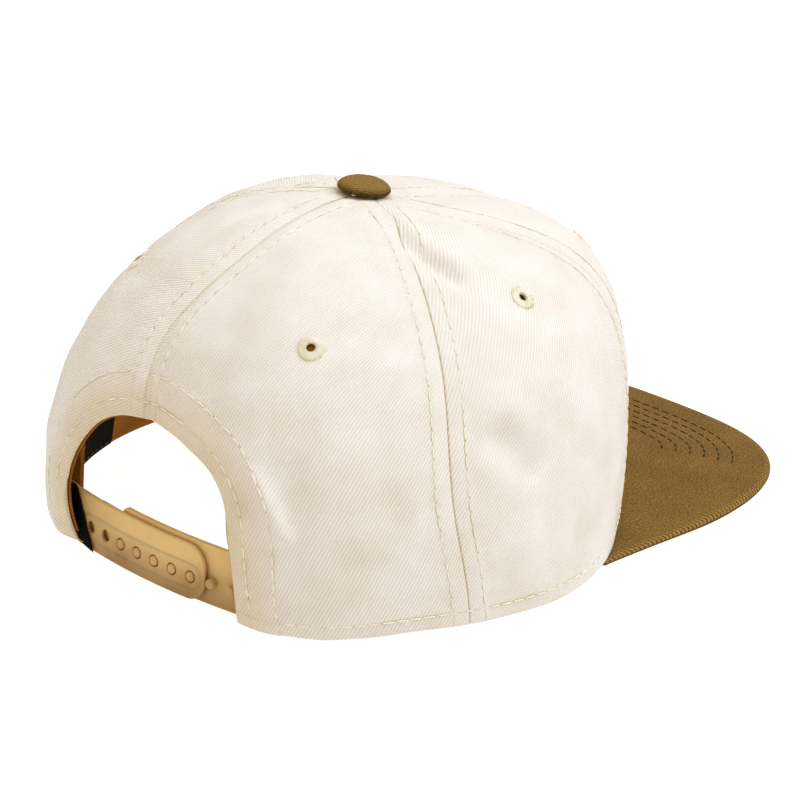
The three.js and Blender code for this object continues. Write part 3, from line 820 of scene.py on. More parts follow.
@dataclass(frozen=True)
class Stitching:
    """Rows of stitches in one thread, and small dark beads between them that paint the shade in the needle holes."""

    length: float = 3.95
    pitch: float = 4.3
    thick: float = 0.42
    skew: float = 0.03
    sides: int = 6
    rings: int = 5
    mark: float = 0.2
    sunk: float = 0.06
    seed: int = 3

    def bead(
        self, shape: bmesh.types.BMesh, spot: Vector, way: Vector, up: Vector, size: tuple[float, float, float]
    ) -> None:
        """Adds one long bead.

        Args:
            shape: takes the bead.
            spot: its middle.
            way, up: the direction that it runs in, and the outward one.
            size: half its width, height and length.
        """
        side = way.cross(up).normalized()
        axes = (side * size[0], up * size[1], way * size[2])
        turn = Matrix([axis[:] for axis in axes]).transposed().to_4x4()
        place = Matrix.Translation(spot) @ turn
        bmesh.ops.create_uvsphere(shape, u_segments=self.sides, v_segments=self.rings, radius=1, matrix=place)

    def sew(
        self, shape: bmesh.types.BMesh, line: np.ndarray, out: np.ndarray, marks: Optional[bmesh.types.BMesh] = None
    ) -> None:
        """Sews one row.

        Args:
            shape: takes the stitches.
            line: closely set corners of the row.
            out: outward direction at each.
            marks: takes the beads of painted shade in the needle holes, where they show.
        """
        luck = random.Random(self.seed + len(line))
        places = even_steps(line, self.pitch)
        corners = np.arange(len(line))
        at = lambda rows, place: Vector([np.interp(place, corners, rows[:, k]) for k in range(3)])
        for place, after in zip(places, np.append(places[1:], places[-1])):
            way = (at(line, place + 0.5) - at(line, place - 0.5)).normalized()
            up = at(out, place).normalized()
            way = (way + way.cross(up) * luck.uniform(-self.skew, self.skew)).normalized()
            half = self.length / 2 * luck.uniform(0.95, 1.05)
            self.bead(shape, at(line, place), way, up, (self.thick / 2, self.thick / 2, half))
            # Painted shade: a small dark bead sunk in the needle hole between two stitches.
            if marks is not None and after > place and luck.random() < 0.85:
                size = self.mark * luck.uniform(0.6, 1.1)
                spot = at(line, (place + after) / 2) - up * self.sunk
                self.bead(marks, spot, way, up, (size, size * 0.6, size * 1.3))


# Finishes.


class NodeTable:
    """Node tree of one material, with short calls that add and join its nodes."""

    def __init__(self, name: str) -> None:
        """Starts a material.

        Args:
            name: its name.
        """
        self.material = bpy.data.materials.new(name)
        self.material.use_nodes = True
        self.tree = self.material.node_tree
        self.shader = self.tree.nodes["Principled BSDF"]

    def node(self, kind: str, inputs: Optional[dict] = None, **settings: object) -> bpy.types.Node:
        """Adds a node.

        Args:
            kind: its type.
            inputs: values or sockets for its inputs, by name or number.
            settings: its own settings.

        Returns:
            The node.
        """
        node = self.tree.nodes.new(kind)
        for key, value in settings.items():
            setattr(node, key, value)
        for key, value in (inputs or {}).items():
            self.feed(node.inputs[key], value)
        return node

    def feed(self, socket: bpy.types.NodeSocket, value: object) -> None:
        """Joins a socket to an input, or sets its value."""
        if isinstance(value, bpy.types.NodeSocket):
            self.tree.links.new(value, socket)
        else:
            socket.default_value = value

    def sum(self, kind: str, a: object, b: object) -> bpy.types.NodeSocket:
        """Returns the result of a sum of two numbers or sockets."""
        return self.node("ShaderNodeMath", {0: a, 1: b}, operation=kind).outputs[0]

    def blend(self, share: object, first: object, second: object) -> bpy.types.NodeSocket:
        """Returns a blend of two colours or sockets."""
        first, second = (opaque(part) if isinstance(part, tuple) else part for part in (first, second))
        return self.node("ShaderNodeMix", {0: share, 6: first, 7: second}, data_type="RGBA").outputs[2]

    def between(self, value: object, low: float, high: float, to_low: float, to_high: float) -> bpy.types.NodeSocket:
        """Returns a value carried from one range to another, held at the ends."""
        inputs = {0: value, 1: low, 2: high, 3: to_low, 4: to_high}
        return self.node("ShaderNodeMapRange", inputs).outputs[0]

    def noise(self, where: object, scale: float, detail: float = 2.0, rough: float = 0.5) -> bpy.types.NodeSocket:
        """Returns a noise from 0 to 1."""
        inputs = {"Vector": where, "Scale": scale, "Detail": detail, "Roughness": rough}
        return self.node("ShaderNodeTexNoise", inputs).outputs["Fac"]

    def read(self, name: str) -> bpy.types.NodeSocket:
        """Returns a number that the piece carries."""
        return self.node("ShaderNodeAttribute", attribute_name=name).outputs["Fac"]

    def line(self, distance: object, at: float, wide: float, strong: float) -> bpy.types.NodeSocket:
        """Returns a soft line so strong where a distance has a value, and 0 away from it."""
        off = self.sum("ABSOLUTE", self.sum("SUBTRACT", distance, at), 0.0)
        inputs = {0: off, 1: 0.0, 2: wide, 3: strong, 4: 0.0}
        return self.node("ShaderNodeMapRange", inputs, interpolation_type="SMOOTHSTEP").outputs[0]

    def bands(
        self, where: object, pitch: float, wobble: float = 0.0, wobble_scale: float = 1.0
    ) -> bpy.types.NodeSocket:
        """Returns bands from 0 to 1 along the first direction of a vector."""
        scale = 2 * math.pi / (20 * pitch)
        inputs = {"Vector": where, "Scale": scale, "Distortion": wobble, "Detail": 1.0, "Detail Scale": wobble_scale}
        return self.node("ShaderNodeTexWave", inputs, wave_type="BANDS", bands_direction="X").outputs["Fac"]

    def turned(self, where: object, degrees: float) -> bpy.types.NodeSocket:
        """Returns places turned about the third direction."""
        node = self.node("ShaderNodeMapping", {"Vector": where})
        node.inputs["Rotation"].default_value = (0, 0, degrees * RAD)
        return node.outputs[0]

    def cloth_places(self) -> bpy.types.NodeSocket:
        """Returns the piece's own measured UV map."""
        return self.node("ShaderNodeUVMap", uv_map=CLOTH_UV).outputs[0]

    def places(self) -> bpy.types.NodeSocket:
        """Returns places in the shared frame."""
        return self.node("ShaderNodeTexCoord").outputs["Object"]

    def set(self, **values: object) -> None:
        """Sets constants on the shader's own sockets, named with underscores for spaces."""
        for key, value in values.items():
            self.shader.inputs[key.replace("_", " ")].default_value = value

    def finished(self, colour: object, height: object, deep: float, **values: object) -> bpy.types.Material:
        """Gives the shader its colour, its bump and its constants.

        Args:
            colour: the colour.
            height: height of the bump, from 0 to 1.
            deep: depth of the bump in millimetres.
            values: constants, named with underscores for spaces.

        Returns:
            The material.
        """
        bump = self.node("ShaderNodeBump", {"Height": height, "Distance": deep * MM, "Strength": 1.0})
        self.feed(self.shader.inputs["Normal"], bump.outputs[0])
        self.feed(self.shader.inputs["Base Color"], colour)
        self.set(**values)
        return self.material


def opaque(colour: Colour) -> tuple[float, float, float, float]:
    """Returns a colour with full cover."""
    return (*colour, 1.0)


@dataclass(frozen=True)
class SewnRows:
    """Where the seams and the rows of stitches press into the cloth, by distance from seam, opening and rim, and the
    colour of the painted shade in them.
    """

    colour: Colour
    seam: float = 5.3
    arch: tuple[float, float] = (5.0, 13.5)
    hem: float = 4.8
    gap_wide: float = 0.55
    row_wide: float = 0.55
    gap_strong: float = 0.3
    row_strong: float = 0.22
    # Colour of the painted shade over the band round the opening.
    band_shade_colour: Colour = (0.62, 0.49, 0.34)
    band_shade: float = 0.48

    def pressed(self, table: NodeTable) -> bpy.types.NodeSocket:
        """Returns how far the cloth is pressed in, from 0 to 1."""
        seam, arch, hem = (table.read(name) for name in ("seam", "arch", "hem"))
        lines = [table.line(seam, 0.0, self.gap_wide, self.gap_strong)]
        rows = [(seam, self.seam), (hem, self.hem)] + [(arch, row) for row in self.arch]
        lines += [table.line(distance, row, self.row_wide, self.row_strong) for distance, row in rows]
        total = lines[0]
        for one in lines[1:]:
            total = table.sum("MAXIMUM", total, one)
        return total

    def band(self, table: NodeTable) -> bpy.types.NodeSocket:
        """Returns how strongly the painted shade darkens the band round the opening, from 0 to 1."""
        return table.between(table.read("arch"), 1.0, self.arch[1] + 2.5, self.band_shade, 0.0)


@dataclass(frozen=True)
class Twill:
    """Twill cloth: slanting ribs of spun yarn, a shade darker between them."""

    name: str
    light: Colour
    dark: Colour
    pitch: float = 0.95
    slant: float = 40.0
    deep: float = 0.12
    ribbed: float = 0.7
    heather: float = 0.0
    fleck: Optional[Colour] = None
    fleck_share: float = 0.0
    # Colour of the painted highlight on the rolled edge and on the rib crests.
    edge_highlight: Optional[Colour] = None
    rows: Optional[SewnRows] = None

    def painted_shade_colour(self) -> Colour:
        """Returns the colour of the painted shade on the cloth's underside."""
        return tuple(part * 0.35 for part in self.dark)

    def weave(self, table: NodeTable, cloth: bpy.types.NodeSocket) -> bpy.types.NodeSocket:
        """Returns the height of the ribs, broken by the yarn."""
        ribs = table.bands(table.turned(cloth, self.slant), self.pitch * UV_PER_MM, 1.6, 9.0)
        yarn = table.bands(table.turned(cloth, self.slant + 74), self.pitch * 0.66 * UV_PER_MM, 1.8, 10.0)
        return table.sum("MULTIPLY", ribs, table.between(yarn, 0.0, 1.0, 0.55, 1.0))

    def material(self) -> bpy.types.Material:
        """Returns the finish as a material."""
        table = NodeTable(self.name)
        cloth = table.cloth_places()
        weave = self.weave(table, cloth)
        fibre = table.noise(cloth, 420, 3.0, 0.65)
        patch = table.noise(cloth, 5.5, 2.0)
        gap = table.sum("MULTIPLY", table.sum("SUBTRACT", 1.0, weave), self.ribbed)
        if self.edge_highlight is not None:
            gap = table.sum("MULTIPLY", gap, table.between(table.read("edge"), 0.0, 1.0, 0.25, 1.0))
        shade = table.sum("MULTIPLY", gap, table.between(fibre, 0.3, 0.7, 0.5, 1.0))
        shade = table.sum("ADD", shade, table.between(patch, 0.3, 0.7, -0.08, 0.16))
        if self.heather:
            mottle = table.noise(table.turned(cloth, 20), 150, 2.0, 0.8)
            shade = table.sum("ADD", shade, table.between(mottle, 0.4, 0.6, 0.0, self.heather))
        height = table.sum("ADD", weave, table.sum("MULTIPLY", fibre, 0.35))
        colour = table.blend(shade, self.light, self.dark)
        if self.rows is not None:
            pressed = self.rows.pressed(table)
            # Painted shade: a warm darker tone over the band round the opening, strongest at its edge.
            colour = table.blend(self.rows.band(table), colour, self.rows.band_shade_colour)
            # Painted shade in the seams and the rows of stitches, toward the rows' colour.
            colour = table.blend(pressed, colour, self.rows.colour)
            height = table.sum("SUBTRACT", height, table.sum("MULTIPLY", pressed, 2.2))
        if self.fleck is not None:
            spots = table.between(table.noise(cloth, 190, 2.0, 0.7), 0.57, 0.66, 0.0, self.fleck_share)
            colour = table.blend(spots, colour, self.fleck)
        # Painted highlight: rib crests are lightened toward this colour where the 'edge' number is high.
        if self.edge_highlight is not None:
            painted_highlight = table.sum("MULTIPLY", table.read("edge"), table.between(weave, 0.2, 0.9, 0.0, 0.85))
            colour = table.blend(painted_highlight, colour, self.edge_highlight)
            # Painted shade: the piece darkens toward this colour where its 'under' number is high.
            colour = table.blend(table.sum("MULTIPLY", table.read("under"), 0.8), colour, self.painted_shade_colour())
        return table.finished(colour, height, self.deep, Roughness=0.95, IOR=1.4, Specular_IOR_Level=0.2)


@dataclass(frozen=True)
class Thread:
    """Sewing thread: two plies, a little glossier than the cloth."""

    name: str
    light: Colour
    dark: Colour

    def material(self) -> bpy.types.Material:
        """Returns the finish as a material."""
        table = NodeTable(self.name)
        where = table.places()
        plies = table.bands(table.turned(where, 35), 0.35 * MM, 0.6)
        patch = table.noise(where, 90, 2.0)
        shade = table.sum("ADD", table.sum("MULTIPLY", plies, 0.35), table.between(patch, 0.3, 0.7, 0.0, 0.5))
        colour = table.blend(shade, self.light, self.dark)
        return table.finished(colour, plies, 0.05, Roughness=0.8, IOR=1.35, Specular_IOR_Level=0.2)


@dataclass(frozen=True)
class WovenTape:
    """Plain woven tape: fine ribs across it."""

    name: str
    light: Colour
    dark: Colour
    pitch: float = 0.9
    slant: float = 0.0
    deep: float = 0.08

    def material(self) -> bpy.types.Material:
        """Returns the finish as a material."""
        table = NodeTable(self.name)
        cloth = table.cloth_places()
        ribs = table.bands(table.turned(cloth, self.slant), self.pitch * UV_PER_MM, 0.6, 5.0)
        picks = table.bands(table.turned(cloth, self.slant + 90), self.pitch * 0.7 * UV_PER_MM, 0.6, 5.0)
        weave = table.sum("MULTIPLY", ribs, picks)
        patch = table.noise(cloth, 8.0, 3.0)
        shade = table.sum("ADD", table.sum("MULTIPLY", weave, 0.5), table.between(patch, 0.3, 0.7, -0.1, 0.4))
        colour = table.blend(shade, self.dark, self.light)
        return table.finished(colour, weave, self.deep, Roughness=0.9, IOR=1.35, Specular_IOR_Level=0.15)


@dataclass(frozen=True)
class SoftPlastic:
    """Moulded plastic that lets a little light in."""

    name: str
    light: Colour
    dark: Colour

    def material(self) -> bpy.types.Material:
        """Returns the finish as a material."""
        table = NodeTable(self.name)
        where = table.places()
        cloud = table.noise(where, 60, 3.0)
        grain = table.noise(where, 2600, 2.0)
        height = table.node("ShaderNodeSeparateXYZ", {0: where}).outputs["Z"]
        # Painted shade: the strap darkens toward its bottom, from 15 mm down to 2 mm above the floor.
        low = table.between(height, 0.002, 0.015, 0.9, 0.0)
        shade = table.sum("ADD", low, table.between(cloud, 0.3, 0.7, -0.1, 0.2))
        colour = table.blend(shade, self.light, self.dark)
        table.feed(table.shader.inputs["Roughness"], table.between(cloud, 0.3, 0.7, 0.36, 0.46))
        table.set(Subsurface_Weight=0.3, Subsurface_Scale=0.002, Subsurface_Radius=(1.0, 0.6, 0.3))
        return table.finished(colour, grain, 0.012, IOR=1.47)


@dataclass(frozen=True)
class Paper:
    """The studio's pale floor, which glows a little so that shadows on it stay faint."""

    name: str
    colour: Colour
    glow: float
    tone: float

    def material(self) -> bpy.types.Material:
        """Returns the finish as a material."""
        table = NodeTable(self.name)
        where = table.places()
        tone = table.between(table.noise(where, 3.0, 2.0), 0.0, 1.0, 0.97, 1.0)
        colour = table.blend(table.sum("MULTIPLY", tone, self.tone), (0.0, 0.0, 0.0), self.colour)
        table.feed(table.shader.inputs["Base Color"], colour)
        table.set(Roughness=1.0, Emission_Color=opaque(self.colour), Emission_Strength=self.glow)
        return table.material


# The crown's rows carry a brown painted shade for their seams and stitch grooves.
ECRU = Twill(
    "twill ecru", (0.895, 0.857, 0.825), (0.62, 0.55, 0.47), ribbed=0.85, rows=SewnRows((0.5, 0.4, 0.28))
)
BROWN = Twill(
    "twill brown", (0.285, 0.168, 0.062), (0.105, 0.06, 0.019), pitch=1.9, slant=60.5, deep=0.2, heather=0.9,
    fleck=(0.42, 0.29, 0.12), fleck_share=0.6, edge_highlight=(0.4, 0.27, 0.1),
)
BUTTON = Twill(
    "twill button", (0.38, 0.24, 0.09), (0.13, 0.08, 0.022), pitch=0.9, slant=48.5, deep=0.25, ribbed=0.9,
    heather=0.5, fleck=(0.5, 0.36, 0.16), fleck_share=0.5, edge_highlight=(0.45, 0.3, 0.11),
)
CREAM = Thread("thread cream", (0.95, 0.91, 0.83), (0.84, 0.77, 0.65))
PALE = Thread("thread pale", (0.92, 0.885, 0.8), (0.79, 0.72, 0.57))
# Colour of the painted shade in the needle holes between stitches.
NEEDLE_HOLE_SHADE = Thread("needle hole shade", (0.66, 0.56, 0.42), (0.48, 0.38, 0.25))
EYE_SHADE = Thread("eyelet shade", (0.16, 0.085, 0.025), (0.06, 0.03, 0.008))
# Painted light and shade: the peak's one brown thread, as a shaded dark copy and a lit golden copy.
SHADED_PEAK_THREAD = Thread("peak thread shaded", (0.06, 0.033, 0.01), (0.035, 0.019, 0.006))
LIT_PEAK_THREAD = Thread("peak thread lit", (0.27, 0.165, 0.055), (0.14, 0.08, 0.022))
GREY_THREAD = Thread("thread grey", (0.2, 0.17, 0.12), (0.12, 0.1, 0.07))
TAN = WovenTape("band tan", (0.45, 0.2, 0.035), (0.22, 0.085, 0.012), pitch=1.0, slant=40)
BLACK = WovenTape("woven black", (0.009, 0.008, 0.006), (0.003, 0.0025, 0.002), pitch=0.7)
PLASTIC = SoftPlastic("plastic tan", (0.72, 0.505, 0.24), (0.29, 0.15, 0.05))
FLOOR = Paper("studio floor", (0.97, 0.97, 0.97), 0.97, 0.25)


class Wardrobe:
    """Holds each finish's material and dresses pieces in them."""

    def __init__(self) -> None:
        """Starts with no material made."""
        self.made: dict[str, bpy.types.Material] = {}

    def dress(self, piece: bpy.types.Object, finish: object, slot: Slot, *nodes: str) -> bpy.types.Object:
        """Dresses a piece, and ties it to the body.

        Args:
            piece: the piece.
            finish: its finish.
            slot: material slot that the finish stands for; not used.
            nodes: nodes that the piece stands for.

        Returns:
            The piece.
        """
        if finish.name not in self.made:
            self.made[finish.name] = finish.material()
        piece.data.materials.append(self.made[finish.name])
        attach(piece, "root")
        if nodes:
            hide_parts(*nodes)
        LOG.info("%s: %d faces in %s", piece.name, len(piece.data.polygons), finish.name)
        return piece


# The crown.


@dataclass
class Crown:
    """Six panels of twill with their seams, hem and the faced edge of the back opening."""

    wardrobe: Wardrobe
    columns: int = 150
    faces_down: int = 170
    thick: float = 1.6
    rows: SewnRows = ECRU.rows
    hole: float = 1.9
    seam_roll: float = 0.3
    lower_roll: float = 0.6
    step_down: float = 0.2
    edge_roll: float = 0.75
    edge_thinner: float = 0.75
    ripple_pitch: float = 4.3
    seam_stand: float = 0.26
    arch_stand: float = 0.35
    hem_stand: float = 0.2
    row_deep: float = 0.12
    arch_thread: float = 0.3
    hem_thread: float = 0.16
    foot: float = 14.0
    waves: int = 9
    wave_share: float = 0.004

    def build(self) -> None:
        """Builds the panels and their stitching."""
        for plan in PANELS:
            self.panel(plan)
        self.seam_stitches()
        self.edge_stitches()

    def edge_lines(self, plan: PanelPlan) -> tuple[np.ndarray, np.ndarray]:
        """Gives the lines that a panel's relief is measured from.

        Args:
            plan: the panel.

        Returns:
            The opening's edge and the rim.
        """
        azimuth, fall = FORM.opening_line(2401)
        arch = FORM.point(azimuth, fall)
        first, last = (seam[0] for seam in FORM.seams_of(plan, np.ones(1)))
        if plan.arch is Side.RIGHT:
            last = azimuth[0]
        elif plan.arch is Side.LEFT:
            first = azimuth[-1]
        round_it = np.linspace(first, last, 2000)
        return arch, FORM.point(round_it, np.ones(2000))

    def relief(self, seam: np.ndarray, arch: np.ndarray, hem: np.ndarray, flat: np.ndarray) -> np.ndarray:
        """Gives the low relief that the sewing leaves in the cloth.

        Args:
            seam: distance to the nearest seam.
            arch: distance to the opening's edge.
            hem: distance to the rim.
            flat: flat places on the panel.

        Returns:
            How far the cloth stands up.
        """
        ripple = np.sin(2 * np.pi * flat[:, 1] / self.ripple_pitch)
        rise = self.seam_stand * (1 - eased(seam, 5.4, 6.9)) + 0.08 * ripple * hump(seam, self.rows.seam, 1.6)
        rise = rise + self.arch_stand * (1 - eased(arch, 13, 15.2)) + self.hem_stand * (1 - eased(hem, 4.8, 6.6))
        for distance, row in ((seam, self.rows.seam), (hem, self.rows.hem), *((arch, row) for row in self.rows.arch)):
            rise = rise - self.row_deep * hump(distance, row, 0.7)
        for row in self.rows.arch:
            rise = rise + 0.07 * ripple * hump(arch, row, 1.8)
        luck = random.Random(11)
        for _ in range(self.waves):
            long, turn, start = luck.uniform(13, 38), luck.uniform(0, math.pi), luck.uniform(0, 6)
            wave = flat[:, 0] * math.cos(turn) + flat[:, 1] * math.sin(turn)
            rise = rise + self.wave_share * long * np.sin(2 * np.pi * wave / long + start) * eased(seam, 1, 12)
        return rise

    def panel(self, plan: PanelPlan) -> None:
        """Builds one panel.

        Args:
            plan: the panel.
        """
        eye = self.eye(plan)

        def in_hole(share: np.ndarray, down: np.ndarray) -> np.ndarray:
            """Tells which flat places lie in the eyelet's hole."""
            azimuth, fall, across = FORM.panel_places(plan, share, down)
            spots = FORM.cloth(azimuth, fall, 0, across)
            return np.linalg.norm(spots - eye, axis=-1) < self.hole

        sheet = Sheet(self.columns, self.faces_down, (0.6, 0.45), in_hole)
        azimuth, fall, across = FORM.panel_places(plan, sheet.share, sheet.down)
        smooth = FORM.point(azimuth, fall)
        start, end = FORM.seams_of(plan, fall)
        wide = (end - start) * RAD * radius_of(smooth)
        seam = np.minimum(across, 1 - across) * wide
        flat = np.stack([(across - 0.5) * wide, self.way_down(azimuth, fall)], axis=-1)
        arch_line, rim_line = self.edge_lines(plan)
        arch = nearest(smooth, arch_line) if plan.arch else np.full(len(fall), 99.0)
        hem = nearest(smooth, rim_line)
        out = FORM.normal(azimuth, fall)
        lower = across > 0.5
        depth = np.where(lower, self.step_down * (1 - eased(seam, 0.2, 2.6)), 0) - self.relief(seam, arch, hem, flat)
        edge = np.minimum(arch, hem)
        seam_roll = np.where(lower, self.lower_roll, self.seam_roll)
        roll = np.maximum(rolled_drop(seam, seam_roll), rolled_drop(edge, self.edge_roll))
        thick = self.thick - self.edge_thinner * (1 - eased(arch, 1, 6))
        depth = np.where(sheet.inner, thick - 0.6 * roll, depth + roll)
        stand = FORM.rise(azimuth, fall, across) - depth
        points = smooth + out * stand[:, None]
        s, c = math.sin(plan.grain * RAD), math.cos(plan.grain * RAD)
        piece = sheet.laid(f"cloth_{plan.name}", points, flat @ np.array([[c, -s], [s, c]]))
        for name, distance in (("seam", seam), ("arch", arch), ("hem", hem)):
            write_attribute(piece, name, np.minimum(distance, 30))
        self.wardrobe.dress(piece, ECRU, Slot.CROWN, f"panel_{plan.name}")

    def way_down(self, azimuth: np.ndarray, fall: np.ndarray) -> np.ndarray:
        """Gives the length of cloth from the button down to places.

        Args:
            azimuth: azimuths in degrees.
            fall: falls.

        Returns:
            Lengths along the crown.
        """
        rounds = np.arange(0, 361, 6.0)
        falls = np.linspace(0, 1, 61)
        lines = FORM.point(rounds[:, None], falls[None, :])
        steps = np.linalg.norm(np.diff(lines, axis=1), axis=-1)
        runs = np.concatenate([np.zeros((len(rounds), 1)), np.cumsum(steps, axis=1)], axis=1)
        place, deep = np.mod(azimuth, 360) / 6.0, np.clip(fall, 0, 1) * 60
        i, j = np.minimum(place.astype(int), len(rounds) - 2), np.minimum(deep.astype(int), 59)
        p, q = place - i, deep - j
        above = runs[i, j] * (1 - p) + runs[i + 1, j] * p
        below = runs[i, j + 1] * (1 - p) + runs[i + 1, j + 1] * p
        return above * (1 - q) + below * q

    def eye(self, plan: PanelPlan) -> np.ndarray:
        """Returns the middle of a panel's eyelet on the cloth."""
        azimuth = FORM.across_panel(plan, plan.eye_share, np.array([plan.eye_fall]))
        return FORM.cloth(azimuth, np.array([plan.eye_fall]), 0)[0]

    def seam_stitches(self) -> None:
        """Sews a row of stitches on each side of each seam."""
        thread = Stitching()
        marks = bmesh.new()
        for index in range(len(SEAMS)):
            shape = bmesh.new()
            back = index == 3
            lowest = float(FORM.opening_edge(Side.LEFT, np.zeros(1))[1][0]) if back else 1.0
            clear = (self.rows.arch[1] if back else self.rows.hem) + 1
            for side in (-1, 1):
                fall = np.linspace(0.05, lowest, 400)
                middle = FORM.seam(index, fall)
                spots = FORM.point(middle, fall)
                radius, length = radius_of(spots), run_along(spots)
                keep = (radius > 11.5) & (length < length[-1] - clear)
                azimuth = (middle + side * self.rows.seam / radius / RAD)[keep]
                line = FORM.cloth(azimuth, fall[keep], -self.seam_stand)
                thread.sew(shape, line, FORM.normal(azimuth, fall[keep]), marks)
            piece = to_piece(shape, f"stitches_seam_{index + 1}")
            self.wardrobe.dress(piece, CREAM, Slot.THREAD)
        self.wardrobe.dress(to_piece(marks, "hole_shade_seams"), NEEDLE_HOLE_SHADE, Slot.THREAD)

    def edge_stitches(self) -> None:
        """Sews the rows round the opening and along the hem."""
        thread = Stitching()
        azimuth, fall = FORM.opening_line()
        way = FORM.away_from_opening(azimuth, fall)
        shape, marks = bmesh.new(), bmesh.new()
        for distance in self.rows.arch:
            beside, low = FORM.beside(azimuth, fall, way, distance)
            keep = low < 0.985
            line = FORM.cloth(beside[keep], low[keep], -self.arch_thread)
            thread.sew(shape, line, FORM.normal(beside[keep], low[keep]), marks)
        self.wardrobe.dress(to_piece(shape, "stitches_opening"), CREAM, Slot.THREAD)
        shape = bmesh.new()
        foot = self.foot / SECTIONS[0].rim / RAD
        round_it = np.linspace(azimuth[-1] - 360 + foot, azimuth[0] - foot, 1400)
        low = FORM.fall_at_height(round_it, FORM.rim_lift(round_it) + self.rows.hem)
        line = FORM.cloth(round_it, low, -self.hem_thread)
        thread.sew(shape, line, FORM.normal(round_it, low), marks)
        self.wardrobe.dress(to_piece(shape, "stitches_hem"), CREAM, Slot.THREAD)
        self.wardrobe.dress(to_piece(marks, "hole_shade_edges"), NEEDLE_HOLE_SHADE, Slot.THREAD)


@dataclass
class Eyelets:
    """Stitched eyelets: a ring of radial threads over a spun core."""

    wardrobe: Wardrobe
    hole: float = 1.4
    outer: float = 4.15
    crest: tuple[tuple[float, float], ...] = ((1.75, 0.46), (2.7, 0.56), (3.7, 0.2), (3.8, -0.3), (2.3, -1.9))
    strands: int = 40

    def build(self) -> None:
        """Builds the eyelet of each panel."""
        for number, plan in enumerate(PANELS):
            self.eyelet(plan, number)

    def sleeve(self, plan: PanelPlan, place: Matrix) -> None:
        """Builds the dark wall of one eyelet's hole, which paints the shade deep inside it.

        Args:
            plan: its panel.
            place: where the eyelet's middle lies.
        """
        inner, outer = self.hole - 0.16, self.hole - 0.02
        shape = spun(((inner, -1.8), (inner, -0.2), (outer, -0.1), (outer, -1.8)), 24)
        bmesh.ops.transform(shape, verts=shape.verts[:], matrix=place)
        self.wardrobe.dress(to_piece(shape, f"hole_{plan.name}"), EYE_SHADE, Slot.THREAD)

    def eyelet(self, plan: PanelPlan, number: int) -> None:
        """Builds one eyelet.

        Args:
            plan: its panel.
            number: the panel's number, which seeds the threads.
        """
        shape = spun(((self.hole, -1.9), (self.hole, 0.1), *self.crest), 32)
        luck = random.Random(40 + number)
        for index in range(self.strands):
            turn = 2 * math.pi * (index + luck.uniform(-0.2, 0.2)) / self.strands
            long = (self.outer - self.hole + 0.2) * luck.uniform(0.86, 1.16)
            size = Matrix.Diagonal((long / 2, 0.2, 0.32, 1))
            lean = Matrix.Rotation(luck.uniform(0.12, 0.2), 4, "Y")
            move = Matrix.Translation((self.hole - 0.1 + long / 2, 0, 0.4))
            pole = Matrix.Rotation(math.pi / 2, 4, "Y")
            place = Matrix.Rotation(turn, 4, "Z") @ move @ lean @ size @ pole
            bmesh.ops.create_uvsphere(shape, u_segments=6, v_segments=6, radius=1, matrix=place)
        fall = np.array([plan.eye_fall])
        azimuth = FORM.across_panel(plan, plan.eye_share, fall)
        seat = FORM.cloth(azimuth, fall, -0.02)[0]
        out = Vector(FORM.cloth(azimuth, fall, -1)[0] - seat)
        turn = Vector((0, 0, 1)).rotation_difference(out)
        place = Matrix.Translation(Vector(seat)) @ turn.to_matrix().to_4x4()
        bmesh.ops.transform(shape, verts=shape.verts[:], matrix=place)
        self.sleeve(plan, place)
        piece = to_piece(shape, f"ring_{plan.name}")
        self.wardrobe.dress(piece, PALE, Slot.THREAD, f"eyelet_{plan.name}")


@dataclass
class Button:
    """The cloth-covered button on the crown."""

    wardrobe: Wardrobe
    tilt: float = 6.0
    profile: tuple[tuple[float, float], ...] = (
        (0, -2.6), (2.4, -2.6), (2.4, 0.7), (7.6, 0.7), (8.3, 1.1), (8.5, 1.8),
        (8.25, 2.6), (7.6, 3.4), (6.4, 4.2), (4.8, 4.8), (2.6, 5.2), (0, 5.3),
    )

    def build(self) -> None:
        """Spins the button and covers it in twill."""
        shape = spun(self.profile, 56, closed=False)
        tilt = Matrix.Rotation(self.tilt * RAD, 4, "X")
        flat = np.array([(v.co.x + v.co.z * 0.5, v.co.y - v.co.z * 0.5) for v in shape.verts])
        high = np.array([v.co.z for v in shape.verts])
        bmesh.ops.transform(shape, verts=shape.verts[:], matrix=Matrix.Translation((0, 0, FORM.height)) @ tilt)
        piece = to_piece(shape, "button_twill", sharp=60)
        write_uv(piece, flat)
        # Painted highlight on the rib crests over the whole button, at a fixed strength.
        write_attribute(piece, "edge", np.full(len(flat), 0.6))
        # Painted shade on the button's lower side.
        write_attribute(piece, "under", 1 - eased(high, 1.5, 3.5))
        self.wardrobe.dress(piece, BUTTON, Slot.PEAK, "top_button")


# The peak.


